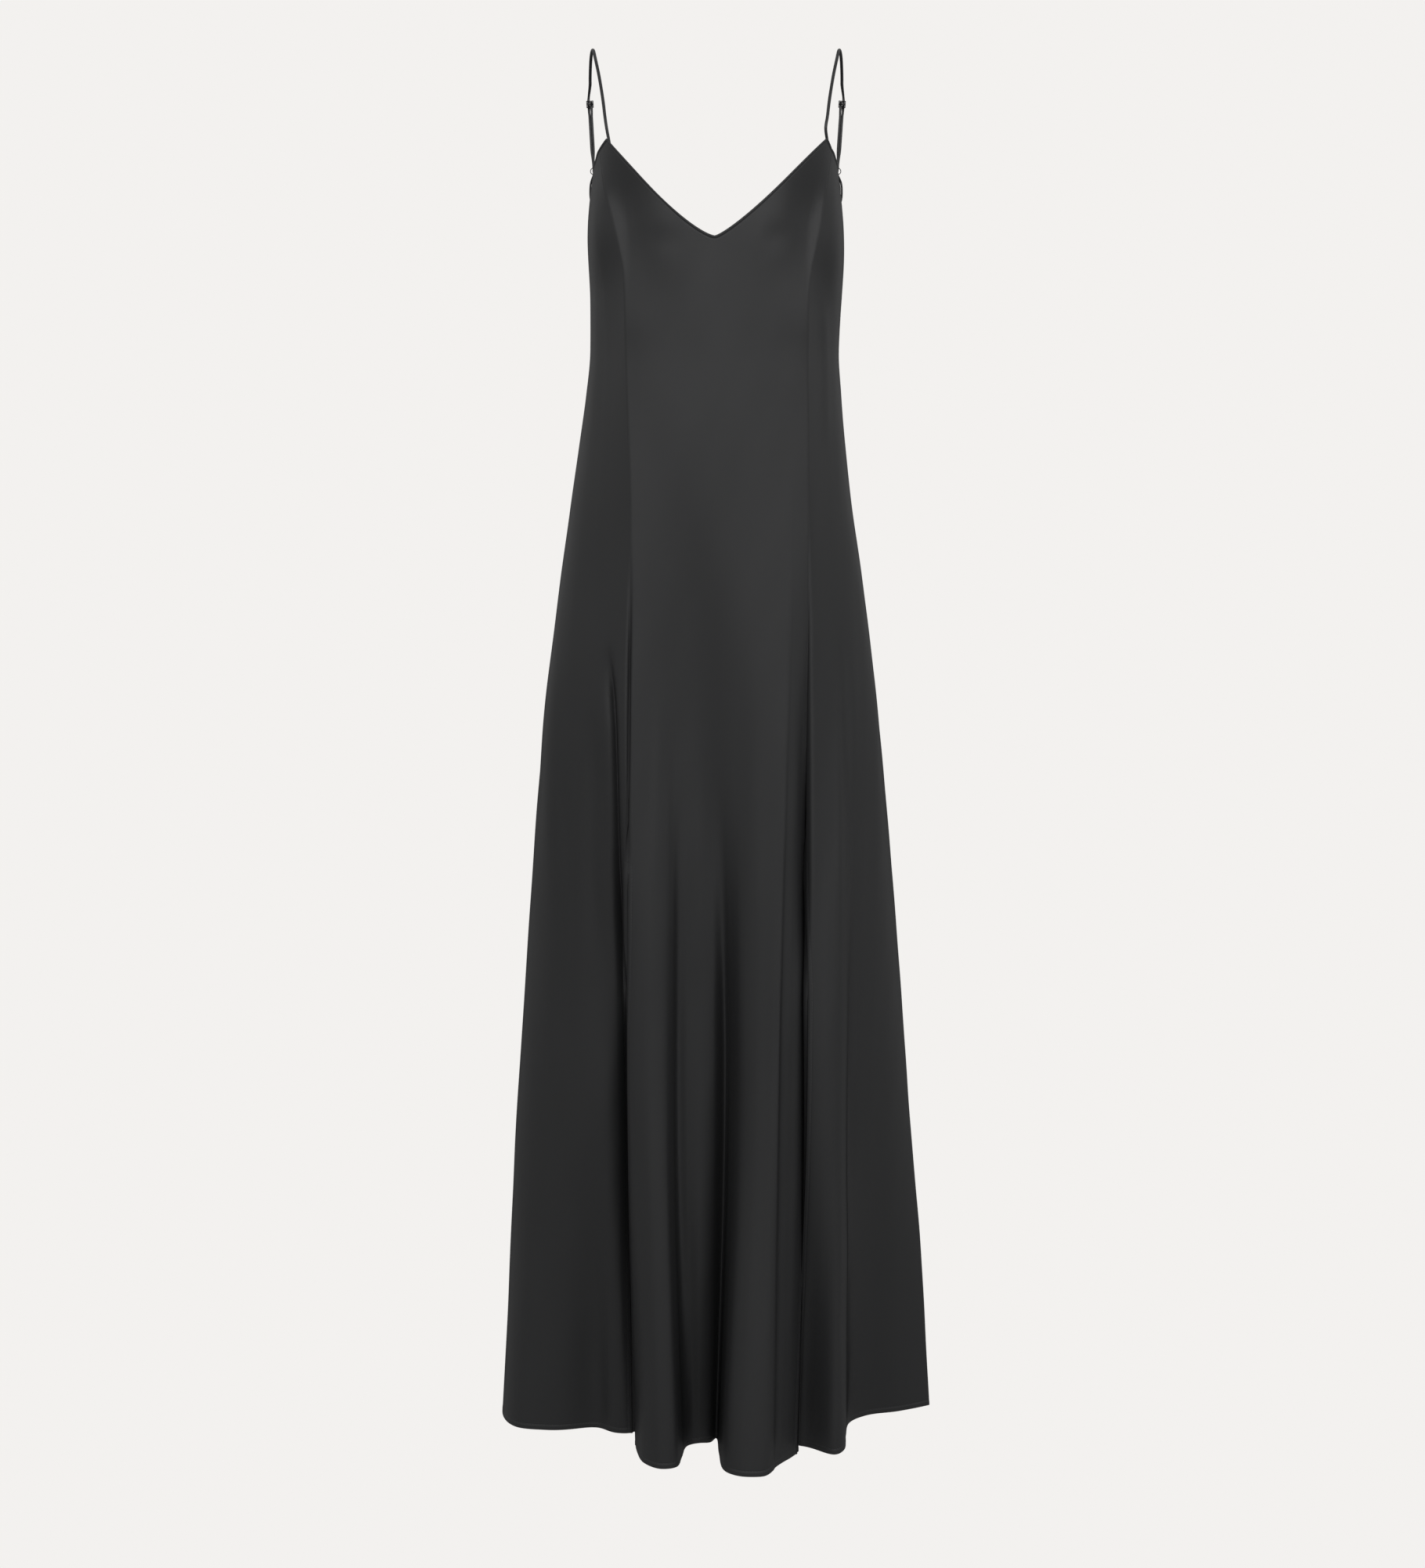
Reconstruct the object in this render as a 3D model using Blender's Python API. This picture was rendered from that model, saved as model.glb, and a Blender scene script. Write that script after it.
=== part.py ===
"""Slip dress on thin straps, in its worn, hollow form.

The origin lies midway between the two strap crests, where the shoulders hold the dress.
+X is to the right seen from the front, the front faces -Y, and +Z is up. Sizes are in metres.
"left" and "right" are as seen from the front.
"""

import math

import bmesh
import bpy
import numpy as np

# ---------------------------------------------------------------- driving dimensions

WALL = 0.0012                 # thickness of the satin walls
SEAM_GAP = 0.0003             # panels stay this far apart along each seam
SLIT_TOP = -0.743             # height where the two front slits begin
SLIT_PARTING = 0.0030         # the slit edges draw this far apart, besides their folds
SLIT_EASE = 0.100             # over this much height below the slits' tops
MID_HEIGHT = -1.05            # height of the middle column of the fold tables
HEM_HEIGHT = -1.475           # lowest hem height

# Horizontal sections of the worn form, read from the top down. widest is how far behind the
# shoulders' line the section is widest. front_power rounds its front half: 2 is an ellipse.
SECTION_COLUMNS = ("height", "half_width", "shift", "front", "back", "widest", "front_power")
SECTIONS = (
    (-0.095, 0.1312, 0.0010, 0.106, 0.088, 0.024, 3.0),
    (-0.120, 0.1320, 0.0010, 0.112, 0.090, 0.024, 3.0),
    (-0.155, 0.1330, 0.0010, 0.117, 0.091, 0.024, 2.9),
    (-0.200, 0.1336, 0.0008, 0.118, 0.090, 0.022, 2.8),
    (-0.250, 0.1330, 0.0008, 0.1135, 0.086, 0.019, 2.6),
    (-0.310, 0.1320, -0.0002, 0.1085, 0.084, 0.015, 2.5),
    (-0.355, 0.1354, -0.0008, 0.1070, 0.089, 0.012, 2.5),
    (-0.410, 0.1416, -0.0020, 0.1075, 0.099, 0.010, 2.5),
    (-0.480, 0.1508, -0.0036, 0.1105, 0.112, 0.007, 2.5),
    (-0.560, 0.1624, -0.0037, 0.1150, 0.121, 0.004, 2.5),
    (-0.680, 0.1776, -0.0037, 0.121, 0.128, 0.002, 2.5),
    (-0.770, 0.1858, -0.0032, 0.124, 0.132, 0.000, 2.5),
    (-0.940, 0.2003, -0.0019, 0.128, 0.140, 0.000, 2.5),
    (-1.114, 0.2132, -0.0015, 0.131, 0.148, 0.000, 2.5),
    (-1.290, 0.2259, 0.0011, 0.134, 0.156, 0.000, 2.5),
    (-1.480, 0.2378, 0.0020, 0.136, 0.164, 0.000, 2.5),
)
BACK_POWER = 2.7              # the same for the back half

# Princess lines: the seams of the centre panel, which run on as the slit edges.
PRINCESS_COLUMNS = ("height", "left", "right")
PRINCESS_LINES = (
    (-0.100, -0.1200, 0.1210),
    (-0.115, -0.1181, 0.1194),
    (-0.137, -0.1155, 0.1170),
    (-0.158, -0.1119, 0.1145),
    (-0.176, -0.1067, 0.1116),
    (-0.210, -0.0997, 0.1057),
    (-0.237, -0.0947, 0.1006),
    (-0.279, -0.0921, 0.0958),
    (-0.334, -0.0904, 0.0952),
    (-0.400, -0.0880, 0.0958),
    (-0.477, -0.0855, 0.0962),
    (-0.600, -0.0851, 0.0965),
    (-1.480, -0.0856, 0.0970),
)

# Bust: a soft fullness beside the neck point.
BUST_OUT = 0.007
BUST_HEIGHT = -0.190
BUST_HALF_SPREAD_X = 0.034
BUST_HALF_SPREAD_Z = 0.050
BUST_CENTRE_X = 0.064

# Neck and armhole edges.
NECK_POINT_Z = -0.2030        # lowest point of the V
# The V's two sides: where its strap point is across, how far up from the lowest point that is,
# and how hollow the edge bows, where 1 is straight.
NECK_SIDES = {
    "left": (-0.1108, 0.1020, 1.38),
    "right": (0.1149, 0.1035, 1.24),
}
PRINCESS_TOP_Z = -0.1150      # where the princess line meets the armhole edge
ARMHOLE_COLUMNS = ("part_of_way", "height")
ARMHOLE = ((0.0, PRINCESS_TOP_Z), (0.3, -0.1180), (0.7, -0.1205), (1.0, -0.1212))
BACK_TOP_COLUMNS = ("part_of_way", "height")
BACK_TOP = (
    (0.0, -0.1212), (0.055, -0.1270), (0.11, -0.1370), (0.20, -0.1580), (0.34, -0.1860),
    (0.5, -0.1990),
    (0.66, -0.1860), (0.80, -0.1580), (0.89, -0.1370), (0.945, -0.1270), (1.0, -0.1212),
)
STRAP_BACK_PART = 0.036       # part of the way round the back, from a side seam to its strap

# Fold tables: a row for each line down the cloth. part is its place across the panel above the
# folds, and start is the height where it begins to leave the plain form. mid_x, mid_out and
# hem_x, hem_out are its place at MID_HEIGHT and at the hem, where out is the distance in front
# of the shoulders' line. None keeps the plain form's place. The centre panel's second line from
# either seam takes its strap point's part instead, so that it runs up to the strap.
FRONT_COLUMNS = ("line", "part", "start", "mid_x", "mid_out", "hem_x", "hem_out", "hem_z")
CENTRE_FOLDS = (
    ("left edge", 0.000, -0.743, -0.0885, 0.096, -0.0925, 0.090, -1.474),
    ("left turn", 0.060, -0.743, -0.0903, 0.117, -0.0815, 0.112, -1.475),
    ("first crest, left", 0.120, -0.650, -0.0835, 0.129, -0.0760, 0.140, -1.475),
    ("first crest", 0.190, -0.550, -0.0665, 0.136, -0.0564, 0.155, -1.475),
    ("first crest, right", 0.260, -0.550, -0.0510, 0.134, -0.0385, 0.149, -1.475),
    ("first wall", 0.320, -0.600, -0.0430, 0.1285, -0.0325, 0.120, -1.474),
    ("trough, left", 0.370, -0.600, -0.0365, 0.1225, -0.0290, 0.094, -1.473),
    ("trough", 0.430, -0.500, -0.0205, 0.1215, -0.0170, 0.086, -1.472),
    ("trough, right", 0.500, -0.480, -0.0030, 0.1145, -0.0045, 0.077, -1.473),
    ("second wall", 0.565, -0.480, 0.0085, 0.1105, 0.0008, 0.108, -1.474),
    ("second crest, left", 0.630, -0.500, 0.0200, 0.1255, 0.0050, 0.160, -1.475),
    ("second crest", 0.710, -0.480, 0.0390, 0.1375, 0.0225, 0.1765, -1.475),
    ("second crest, right", 0.790, -0.420, 0.0590, 0.1395, 0.0450, 0.171, -1.475),
    ("right fold", 0.860, -0.400, 0.0690, 0.1335, 0.0555, 0.142, -1.474),
    ("right slope", 0.920, -0.420, 0.0745, 0.1160, 0.0640, 0.110, -1.473),
    ("right shelf", 0.980, -0.600, 0.0850, 0.1100, 0.0790, 0.096, -1.473),
    ("right edge", 1.000, -0.743, 0.0970, 0.1030, 0.0925, 0.086, -1.472),
)
LEFT_FOLDS = (
    ("slit edge", 0.000, -0.743, -0.0880, 0.076, -0.0855, 0.066, -1.469),
    ("lip", 0.100, -0.600, -0.0925, 0.073, -0.1020, 0.067, -1.469),
    ("trough", 0.200, -0.560, -0.0975, 0.077, -0.1200, 0.062, -1.469),
    ("rise", 0.340, -0.580, -0.1085, 0.091, -0.1390, 0.063, -1.469),
    ("flat", 0.520, -0.620, -0.1420, 0.092, -0.1640, 0.062, -1.469),
    ("outer", 0.700, -0.650, -0.1750, 0.071, -0.1920, 0.061, -1.469),
    ("turn", 0.870, -0.650, -0.1995, 0.042, -0.2190, 0.050, -1.469),
    ("side seam", 1.000, -0.650, None, None, None, None, -1.470),
)
RIGHT_FOLDS = (
    ("slit edge", 0.000, -0.743, 0.0935, 0.117, 0.0868, 0.102, -1.470),
    ("third crest, left", 0.120, -0.650, 0.1040, 0.122, 0.0955, 0.119, -1.470),
    ("third crest", 0.260, -0.600, 0.1150, 0.124, 0.1110, 0.132, -1.470),
    ("third crest, right", 0.390, -0.500, 0.1280, 0.1195, 0.1280, 0.133, -1.470),
    ("third fold", 0.500, -0.480, 0.1380, 0.1100, 0.1380, 0.116, -1.469),
    ("third wall", 0.590, -0.500, 0.1425, 0.097, 0.1410, 0.080, -1.467),
    ("valley", 0.680, -0.550, 0.1530, 0.085, 0.1465, 0.047, -1.465),
    ("flat", 0.780, -0.650, 0.1700, 0.069, 0.1660, 0.028, -1.464),
    ("outer", 0.890, -0.650, 0.1900, 0.044, 0.2030, 0.016, -1.464),
    ("side seam", 1.000, -0.650, None, None, None, None, -1.463),
)
# The back's lines keep their part of the way round, and move out from the plain section.
BACK_COLUMNS = ("line", "part", "start", "mid_out", "hem_out", "hem_z")
BACK_FOLDS = (
    ("left side seam", 0.000, -0.600, 0.000, 0.000, -1.470),
    ("left side", 0.060, -0.600, 0.003, 0.002, -1.470),
    ("crest 1", 0.140, -0.700, 0.008, 0.012, -1.471),
    ("valley 1", 0.225, -0.600, -0.008, -0.024, -1.470),
    ("crest 2", 0.320, -0.700, 0.007, 0.018, -1.474),
    ("valley 2", 0.405, -0.580, -0.009, -0.030, -1.472),
    ("crest 3", 0.490, -0.750, 0.006, 0.015, -1.475),
    ("valley 3", 0.570, -0.640, -0.007, -0.026, -1.472),
    ("crest 4", 0.665, -0.700, 0.009, 0.022, -1.474),
    ("valley 4", 0.755, -0.600, -0.008, -0.028, -1.470),
    ("crest 5", 0.850, -0.700, 0.007, 0.010, -1.469),
    ("right side", 0.935, -0.600, 0.002, -0.003, -1.465),
    ("right side seam", 1.000, -0.600, 0.000, 0.000, -1.463),
)

# Straps, from the strap point over the shoulder. half_span is measured from the pair's middle.
STRAP_SHIFT = 0.0014          # the pair's middle lies this far to the right
STRAP_TAIL_DROPS = (0.010, 0.005, 0.0)   # the strap's end is sewn behind the strap point
SHOULDER_LINE = (0.012, -0.095)          # y and z of the line which the strap faces away from
STRAP_COLUMNS = ("half_span", "out", "height")
STRAP_FRONT = (
    (0.1141, 0.0670, -0.0900),
    (0.1156, 0.0635, -0.0770),
    (0.1172, 0.0580, -0.0620),
    (0.1192, 0.0505, -0.0480),
    (0.1222, 0.0380, -0.0300),
    (0.1252, 0.0225, -0.0140),
    (0.1280, 0.0070, -0.0035),
    (0.1300, -0.0080, -0.0012),
    (0.1318, -0.0220, -0.0050),
    (0.1332, -0.0340, -0.0145),
    (0.1340, -0.0420, -0.0270),
)
SLIDER_PLACE = (0.1345, -0.0470, -0.0465)    # half_span, out and height of its middle
STRAP_WIDE = 0.0030           # a turned tube of cloth, a little wider than it is thick
STRAP_THICK = 0.0022
STRAND_WIDE_AND_THICK = {     # the doubled run: free, pressed flat in the slider, and at the ring
    "free": (0.0024, 0.0017),
    "slider": (0.0022, 0.0008),
    "ring": (0.0014, 0.0022),
}
STRAND_OFFSET = 0.0017        # each strand lies this far from the middle of the doubled run
STRAND_SIDES = 8

# How the two strands pass the slider: up is measured from its middle, out from its plate.
OUTER_PASS = (                # from above, down to the ring: behind the top and bottom bars' fronts
    (0.0085, 0.0008, "free"),
    (0.00425, 0.00135, "slider"),
    (0.00305, 0.00128, "slider"),
    (0.00172, 0.0, "slider"),
    (0.0005, -0.00131, "slider"),
    (-0.0005, -0.00131, "slider"),
    (-0.00172, 0.0, "slider"),
    (-0.00305, 0.00128, "slider"),
    (-0.00425, 0.00135, "slider"),
    (-0.0085, 0.0005, "free"),
)
INNER_PASS = (                # from below, back up to its end behind the top bar
    (-0.0085, -0.0005, "free"),
    (-0.00425, -0.00135, "slider"),
    (-0.00305, -0.00128, "slider"),
    (-0.00172, 0.0, "slider"),
    (-0.0005, 0.00131, "slider"),
    (0.0005, 0.00131, "slider"),
    (0.00172, 0.0, "slider"),
    (0.00222, -0.0010, "slider"),
)
ENTRY_SHARE = 0.6             # the strap comes in this part of STRAND_OFFSET from the middle
RUN_START = -0.018            # the strands run plain from here
RUN_END_ABOVE_TURN = 0.004    # and to here above their turn round the ring
RUN_STEPS = 4

SLIDER_HALF_WIDE = 0.00380
SLIDER_HALF_TALL = 0.00385
SLIDER_BAR = 0.0008
SLIDER_EASE = 0.00018         # width of its eased edges
RING_RADIUS = 0.0036          # to the middle of the wire
RING_WIRE_RADIUS = 0.00045
RING_STEPS = 18
WIRE_SIDES = 8
RING_ABOVE_EDGE = 0.0068      # ring's middle above the back's top edge
TAB_DROPS = (0.0080, 0.0040, 0.0)       # the tab's legs run down inside the back's edge
TAB_THICK = 0.0010
TAB_WIDE = 0.0016
TAB_SIDES = 6
TAB_CLEAR_OF_TURN = 0.0004    # the legs are straight to this far below their turn round the ring
TURN_CLEAR = 0.0008           # the strands are straight to this far above theirs
TURN_STEPS = 8                # steps round a half turn

# Mesh steps: columns between two lines of a fold table, and heights from hem to top edge.
FRONT_STEPS = 2
BACK_STEPS = 3
HEIGHT_STEPS = 25
HEIGHT_CROWDING = 1.45        # over 1 sets the heights closer together towards the top
HEIGHT_SAMPLES = 160          # heights at which each line down the cloth is worked out
BELOW_HEM = 0.005             # they begin this far below the hem
SECTION_SAMPLES = 61
PART_SAMPLES = 401            # steps in which a place across a panel is looked up
TOP_EDGE_ROUNDS = 30          # rounds in which a line's top is brought to the neck's edge
SHARP_ANGLE = 40.0            # degrees between faces over which their edge is sharp

SATIN_COLOUR = (0.026, 0.027, 0.029, 1.0)
SATIN_ROUGHNESS = 0.42
METAL_COLOUR = (0.018, 0.018, 0.020, 1.0)
METAL_ROUGHNESS = 0.30


# ---------------------------------------------------------------- curves through tables


def column(rows, names, name):
    """One named column of a table as an array, where None gives nan."""
    index = names.index(name)
    return np.array([row[index] for row in rows], dtype=float)


def smooth_curve(knots, values, at):
    """Smooth curve through the rows of a table, which never swings past them."""
    order = np.argsort(knots)
    knots = np.asarray(knots, dtype=float)[order]
    values = np.asarray(values, dtype=float)[order]
    spans = np.diff(knots)
    slopes = np.diff(values) / spans
    tangents = np.empty_like(values)
    tangents[0] = slopes[0]
    tangents[-1] = slopes[-1]
    before, after = slopes[:-1], slopes[1:]
    same_way = before * after > 0.0
    weight_a = 2.0 * spans[1:] + spans[:-1]
    weight_b = spans[1:] + 2.0 * spans[:-1]
    safe_before = np.where(same_way, before, 1.0)
    safe_after = np.where(same_way, after, 1.0)
    middle = (weight_a + weight_b) / (weight_a / safe_before + weight_b / safe_after)
    tangents[1:-1] = np.where(same_way, middle, 0.0)
    at = np.clip(np.asarray(at, dtype=float), knots[0], knots[-1])
    cell = np.clip(np.searchsorted(knots, at) - 1, 0, len(spans) - 1)
    part = (at - knots[cell]) / spans[cell]
    rest = 1.0 - part
    start = (1.0 + 2.0 * part) * rest * rest * values[cell]
    start_pull = part * rest * rest * spans[cell] * tangents[cell]
    end = part * part * (3.0 - 2.0 * part) * values[cell + 1]
    end_pull = -part * part * rest * spans[cell] * tangents[cell + 1]
    return start + start_pull + end + end_pull


def round_curve(points, steps):
    """Smooth curve through points, with the given number of steps between each two."""
    points = np.asarray(points, dtype=float)
    chords = np.sqrt(np.linalg.norm(np.diff(points, axis=0), axis=1))
    knots = np.concatenate(([0.0], np.cumsum(np.maximum(chords, 1e-6))))
    slopes = np.diff(points, axis=0) / np.diff(knots)[:, None]
    tangents = np.empty_like(points)
    spans = np.diff(knots)[:, None]
    tangents[1:-1] = (slopes[:-1] * spans[1:] + slopes[1:] * spans[:-1]) / (spans[1:] + spans[:-1])
    tangents[0] = 2.0 * slopes[0] - tangents[1]
    tangents[-1] = 2.0 * slopes[-1] - tangents[-2]
    part = (np.arange(steps) / steps)[None, :, None]
    rest = 1.0 - part
    start, end = points[:-1, None, :], points[1:, None, :]
    pull_start, pull_end = tangents[:-1, None, :], tangents[1:, None, :]
    width = spans[:, :, None]
    curve = (1.0 + 2.0 * part) * rest * rest * start + part * rest * rest * width * pull_start
    curve = curve + part * part * (3.0 - 2.0 * part) * end - part * part * rest * width * pull_end
    return np.concatenate((curve.reshape(-1, points.shape[1]), points[-1:]))


# ---------------------------------------------------------------- the worn form


def section_sizes(height):
    """Half width, shift, front, back, widest and front power of the section at a height."""
    heights = column(SECTIONS, SECTION_COLUMNS, "height")
    return [
        float(smooth_curve(heights, column(SECTIONS, SECTION_COLUMNS, name), height))
        for name in SECTION_COLUMNS[1:]
    ]


def bust_out(x, height):
    """How far the bust fullness brings the front forward."""
    across = (np.abs(x) - BUST_CENTRE_X) / BUST_HALF_SPREAD_X
    along = (height - BUST_HEIGHT) / BUST_HALF_SPREAD_Z
    return BUST_OUT * np.exp(-across * across - along * along)


def section_points(height, start_turn, end_turn, parts):
    """Points on the section between two turns, by part of the arc between them.

    A turn of 0 is the right side, a quarter is the front's middle, a half is the left side.
    """
    half_width, shift, front, back, widest, front_power = section_sizes(height)
    angles = 2.0 * math.pi * np.linspace(start_turn, end_turn, SECTION_SAMPLES)
    cosine, sine = np.cos(angles), np.sin(angles)
    power = np.where(sine >= 0.0, 2.0 / front_power, 2.0 / BACK_POWER)
    depth = np.where(sine >= 0.0, front + widest, back - widest)
    x = shift + half_width * np.sign(cosine) * np.abs(cosine) ** power
    y = widest - depth * np.sign(sine) * np.abs(sine) ** power
    y = y - np.where(sine > 0.0, bust_out(x, height) * np.minimum(1.0, 2.0 * np.abs(sine)), 0.0)
    lengths = np.concatenate(([0.0], np.cumsum(np.hypot(np.diff(x), np.diff(y)))))
    wanted = np.asarray(parts) * lengths[-1]
    return np.stack((np.interp(wanted, lengths, x), np.interp(wanted, lengths, y)), axis=1)


def turn_at(height, x):
    """The turn of the point at x on the front of the section at a height."""
    half_width, shift, _, _, _, front_power = section_sizes(height)
    across = np.clip((x - shift) / half_width, -1.0, 1.0)
    cosine = np.sign(across) * abs(across) ** (front_power / 2.0)
    return math.acos(cosine) / (2.0 * math.pi)


def princess_turn(height, side):
    """The turn of a princess line at a height."""
    heights = column(PRINCESS_LINES, PRINCESS_COLUMNS, "height")
    x = smooth_curve(heights, column(PRINCESS_LINES, PRINCESS_COLUMNS, side), height)
    return turn_at(height, float(x))


def panel_turns(name, height):
    """Where a panel starts and ends round the section."""
    if name == "centre":
        return princess_turn(height, "left"), princess_turn(height, "right")
    if name == "left":
        return princess_turn(height, "left"), 0.5
    if name == "right":
        return princess_turn(height, "right"), 0.0
    return 0.5, 1.0


# ---------------------------------------------------------------- neck, armholes and back edge


def strap_point_part(side):
    """The part of the way across the centre panel at a strap point."""
    point_x, rise, _ = NECK_SIDES[side]
    height = NECK_POINT_Z + rise
    start, end = panel_turns("centre", height)
    parts = np.linspace(0.0, 1.0, PART_SAMPLES)
    x = section_points(height, start, end, parts)[:, 0]
    return float(np.interp(point_x, x, parts))


def centre_top(x):
    """Height of the centre panel's top edge: the V, and the armhole edges beyond the points."""
    side = "left" if x < 0.0 else "right"
    point_x, rise, power = NECK_SIDES[side]
    if abs(x) <= abs(point_x):
        return NECK_POINT_Z + rise * (abs(x) / abs(point_x)) ** power
    heights = column(PRINCESS_LINES, PRINCESS_COLUMNS, "height")
    princess = column(PRINCESS_LINES, PRINCESS_COLUMNS, side)
    seam_x = abs(float(smooth_curve(heights, princess, PRINCESS_TOP_Z)))
    part = min(1.0, (abs(x) - abs(point_x)) / (seam_x - abs(point_x)))
    point_z = NECK_POINT_Z + rise
    return point_z + (PRINCESS_TOP_Z - point_z) * part


def top_height(name, part, column_x):
    """Height of a panel's top edge for one line down the cloth."""
    if name == "centre":
        height = PRINCESS_TOP_Z
        for _ in range(TOP_EDGE_ROUNDS):
            height = 0.5 * height + 0.5 * centre_top(column_x(height))
        return height
    rows, names = (BACK_TOP, BACK_TOP_COLUMNS) if name == "back" else (ARMHOLE, ARMHOLE_COLUMNS)
    parts = column(rows, names, "part_of_way")
    return float(smooth_curve(parts, column(rows, names, "height"), part))


# ---------------------------------------------------------------- folds


def fold_rows(name):
    """A panel's fold lines: parts, starts, places at mid height and at the hem, hem heights."""
    if name == "back":
        parts = column(BACK_FOLDS, BACK_COLUMNS, "part")
        mid = outward(MID_HEIGHT, parts, column(BACK_FOLDS, BACK_COLUMNS, "mid_out"))
        hem = outward(HEM_HEIGHT, parts, column(BACK_FOLDS, BACK_COLUMNS, "hem_out"))
        starts = column(BACK_FOLDS, BACK_COLUMNS, "start")
        return parts, starts, mid, hem, column(BACK_FOLDS, BACK_COLUMNS, "hem_z")
    rows = {"centre": CENTRE_FOLDS, "left": LEFT_FOLDS, "right": RIGHT_FOLDS}[name]
    parts = column(rows, FRONT_COLUMNS, "part")
    places = []
    for height, across, out in ((MID_HEIGHT, "mid_x", "mid_out"), (HEM_HEIGHT, "hem_x", "hem_out")):
        x = column(rows, FRONT_COLUMNS, across)
        y = -column(rows, FRONT_COLUMNS, out)
        given = np.stack((x, y), axis=1)
        plain = section_points(height, *panel_turns(name, height), parts)
        places.append(np.where(np.isnan(given), plain, given))
    starts = column(rows, FRONT_COLUMNS, "start")
    return parts, starts, places[0], places[1], column(rows, FRONT_COLUMNS, "hem_z")


def outward(height, parts, distances):
    """Points of the back's section moved out along its normals."""
    fine = np.linspace(0.0, 1.0, PART_SAMPLES)
    curve = section_points(height, 0.5, 1.0, fine)
    along = np.gradient(curve, axis=0)
    normals = np.stack((-along[:, 1], along[:, 0]), axis=1)
    normals /= np.linalg.norm(normals, axis=1)[:, None]
    place = [np.interp(parts, fine, curve[:, i]) for i in range(2)]
    normal = [np.interp(parts, fine, normals[:, i]) for i in range(2)]
    return np.stack([place[i] + normal[i] * distances for i in range(2)], axis=1)


def panel_columns(name, steps):
    """Heights, and the x and y of each line down a panel at those heights."""
    parts, starts, mid, hem, hem_z = fold_rows(name)
    if name == "centre":
        parts = parts.copy()
        parts[1] = strap_point_part("left")
        parts[-2] = strap_point_part("right")
    top = column(SECTIONS, SECTION_COLUMNS, "height")[0]
    heights = np.linspace(HEM_HEIGHT - BELOW_HEM, top, HEIGHT_SAMPLES)
    plain = np.array([section_points(h, *panel_turns(name, h), parts) for h in heights])
    plain_mid = section_points(MID_HEIGHT, *panel_turns(name, MID_HEIGHT), parts)
    plain_hem = section_points(HEM_HEIGHT, *panel_turns(name, HEM_HEIGHT), parts)
    lines = plain.copy()
    for row, start in enumerate(starts):
        for axis in range(2):
            mid_move = mid[row, axis] - plain_mid[row, axis]
            hem_move = hem[row, axis] - plain_hem[row, axis]
            knots = (0.0, start, MID_HEIGHT, HEM_HEIGHT)
            lines[:, row, axis] += smooth_curve(knots, (0.0, 0.0, mid_move, hem_move), heights)
    curves = np.array([round_curve(level, steps) for level in lines])
    part_curve = round_curve(np.stack((parts, hem_z), axis=1), steps)
    column_parts = np.interp(np.arange(curves.shape[1]) / steps, np.arange(len(parts)), parts)
    return heights, curves, column_parts, part_curve[:, 1]


def panel_grid(name, steps, height_steps):
    """Outer points of a panel: rows from the hem up, columns from seam to seam."""
    heights, curves, parts, hem_z = panel_columns(name, steps)
    ladder = np.linspace(0.0, 1.0, height_steps + 1)
    ladder = 1.0 - (1.0 - ladder) ** HEIGHT_CROWDING
    grid = np.empty((height_steps + 1, curves.shape[1], 3))
    for index in range(curves.shape[1]):
        line = curves[:, index]
        top = top_height(name, parts[index], lambda z: float(np.interp(z, heights, line[:, 0])))
        z = hem_z[index] + ladder * (top - hem_z[index])
        grid[:, index, 0] = np.interp(z, heights, line[:, 0])
        grid[:, index, 1] = np.interp(z, heights, line[:, 1])
        grid[:, index, 2] = z
    return grid


# ---------------------------------------------------------------- walls from grids


def grid_normals(grid, outward_side):
    """Unit normals of a grid, pointing away from the hollow."""
    across = np.gradient(grid, axis=1)
    up = np.gradient(grid, axis=0)
    normals = np.cross(across, up) * outward_side
    lengths = np.linalg.norm(normals, axis=2)[:, :, None]
    return normals / np.maximum(lengths, 1e-12)


def below_slit_top(heights):
    """0 at the slits' tops and above, rising smoothly to 1 a short way below them."""
    part = np.clip((SLIT_TOP - heights) / SLIT_EASE, 0.0, 1.0)
    return part * part * (3.0 - 2.0 * part)


def part_at_seams(grid, normals, slit_edges):
    """Draw both edges back from their seams, and the slit edges a little further."""
    result = grid.copy()
    for edge, inner in ((0, 1), (-1, -2)):
        away = grid[:, inner] - grid[:, edge]
        away -= normals[:, edge] * np.sum(away * normals[:, edge], axis=1)[:, None]
        away /= np.linalg.norm(away, axis=1)[:, None]
        gap = np.full(len(grid), SEAM_GAP)
        if edge in slit_edges:
            gap += SLIT_PARTING * below_slit_top(grid[:, edge, 2])
        result[:, edge] += away * gap[:, None] * 0.5
    return result


def split_quad(quad, points):
    """Two triangles from a quad, parted along its shorter diagonal."""
    a, b, c, d = quad
    if np.linalg.norm(points[a] - points[c]) <= np.linalg.norm(points[b] - points[d]):
        return (a, b, c), (a, c, d)
    return (a, b, d), (b, c, d)


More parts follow.
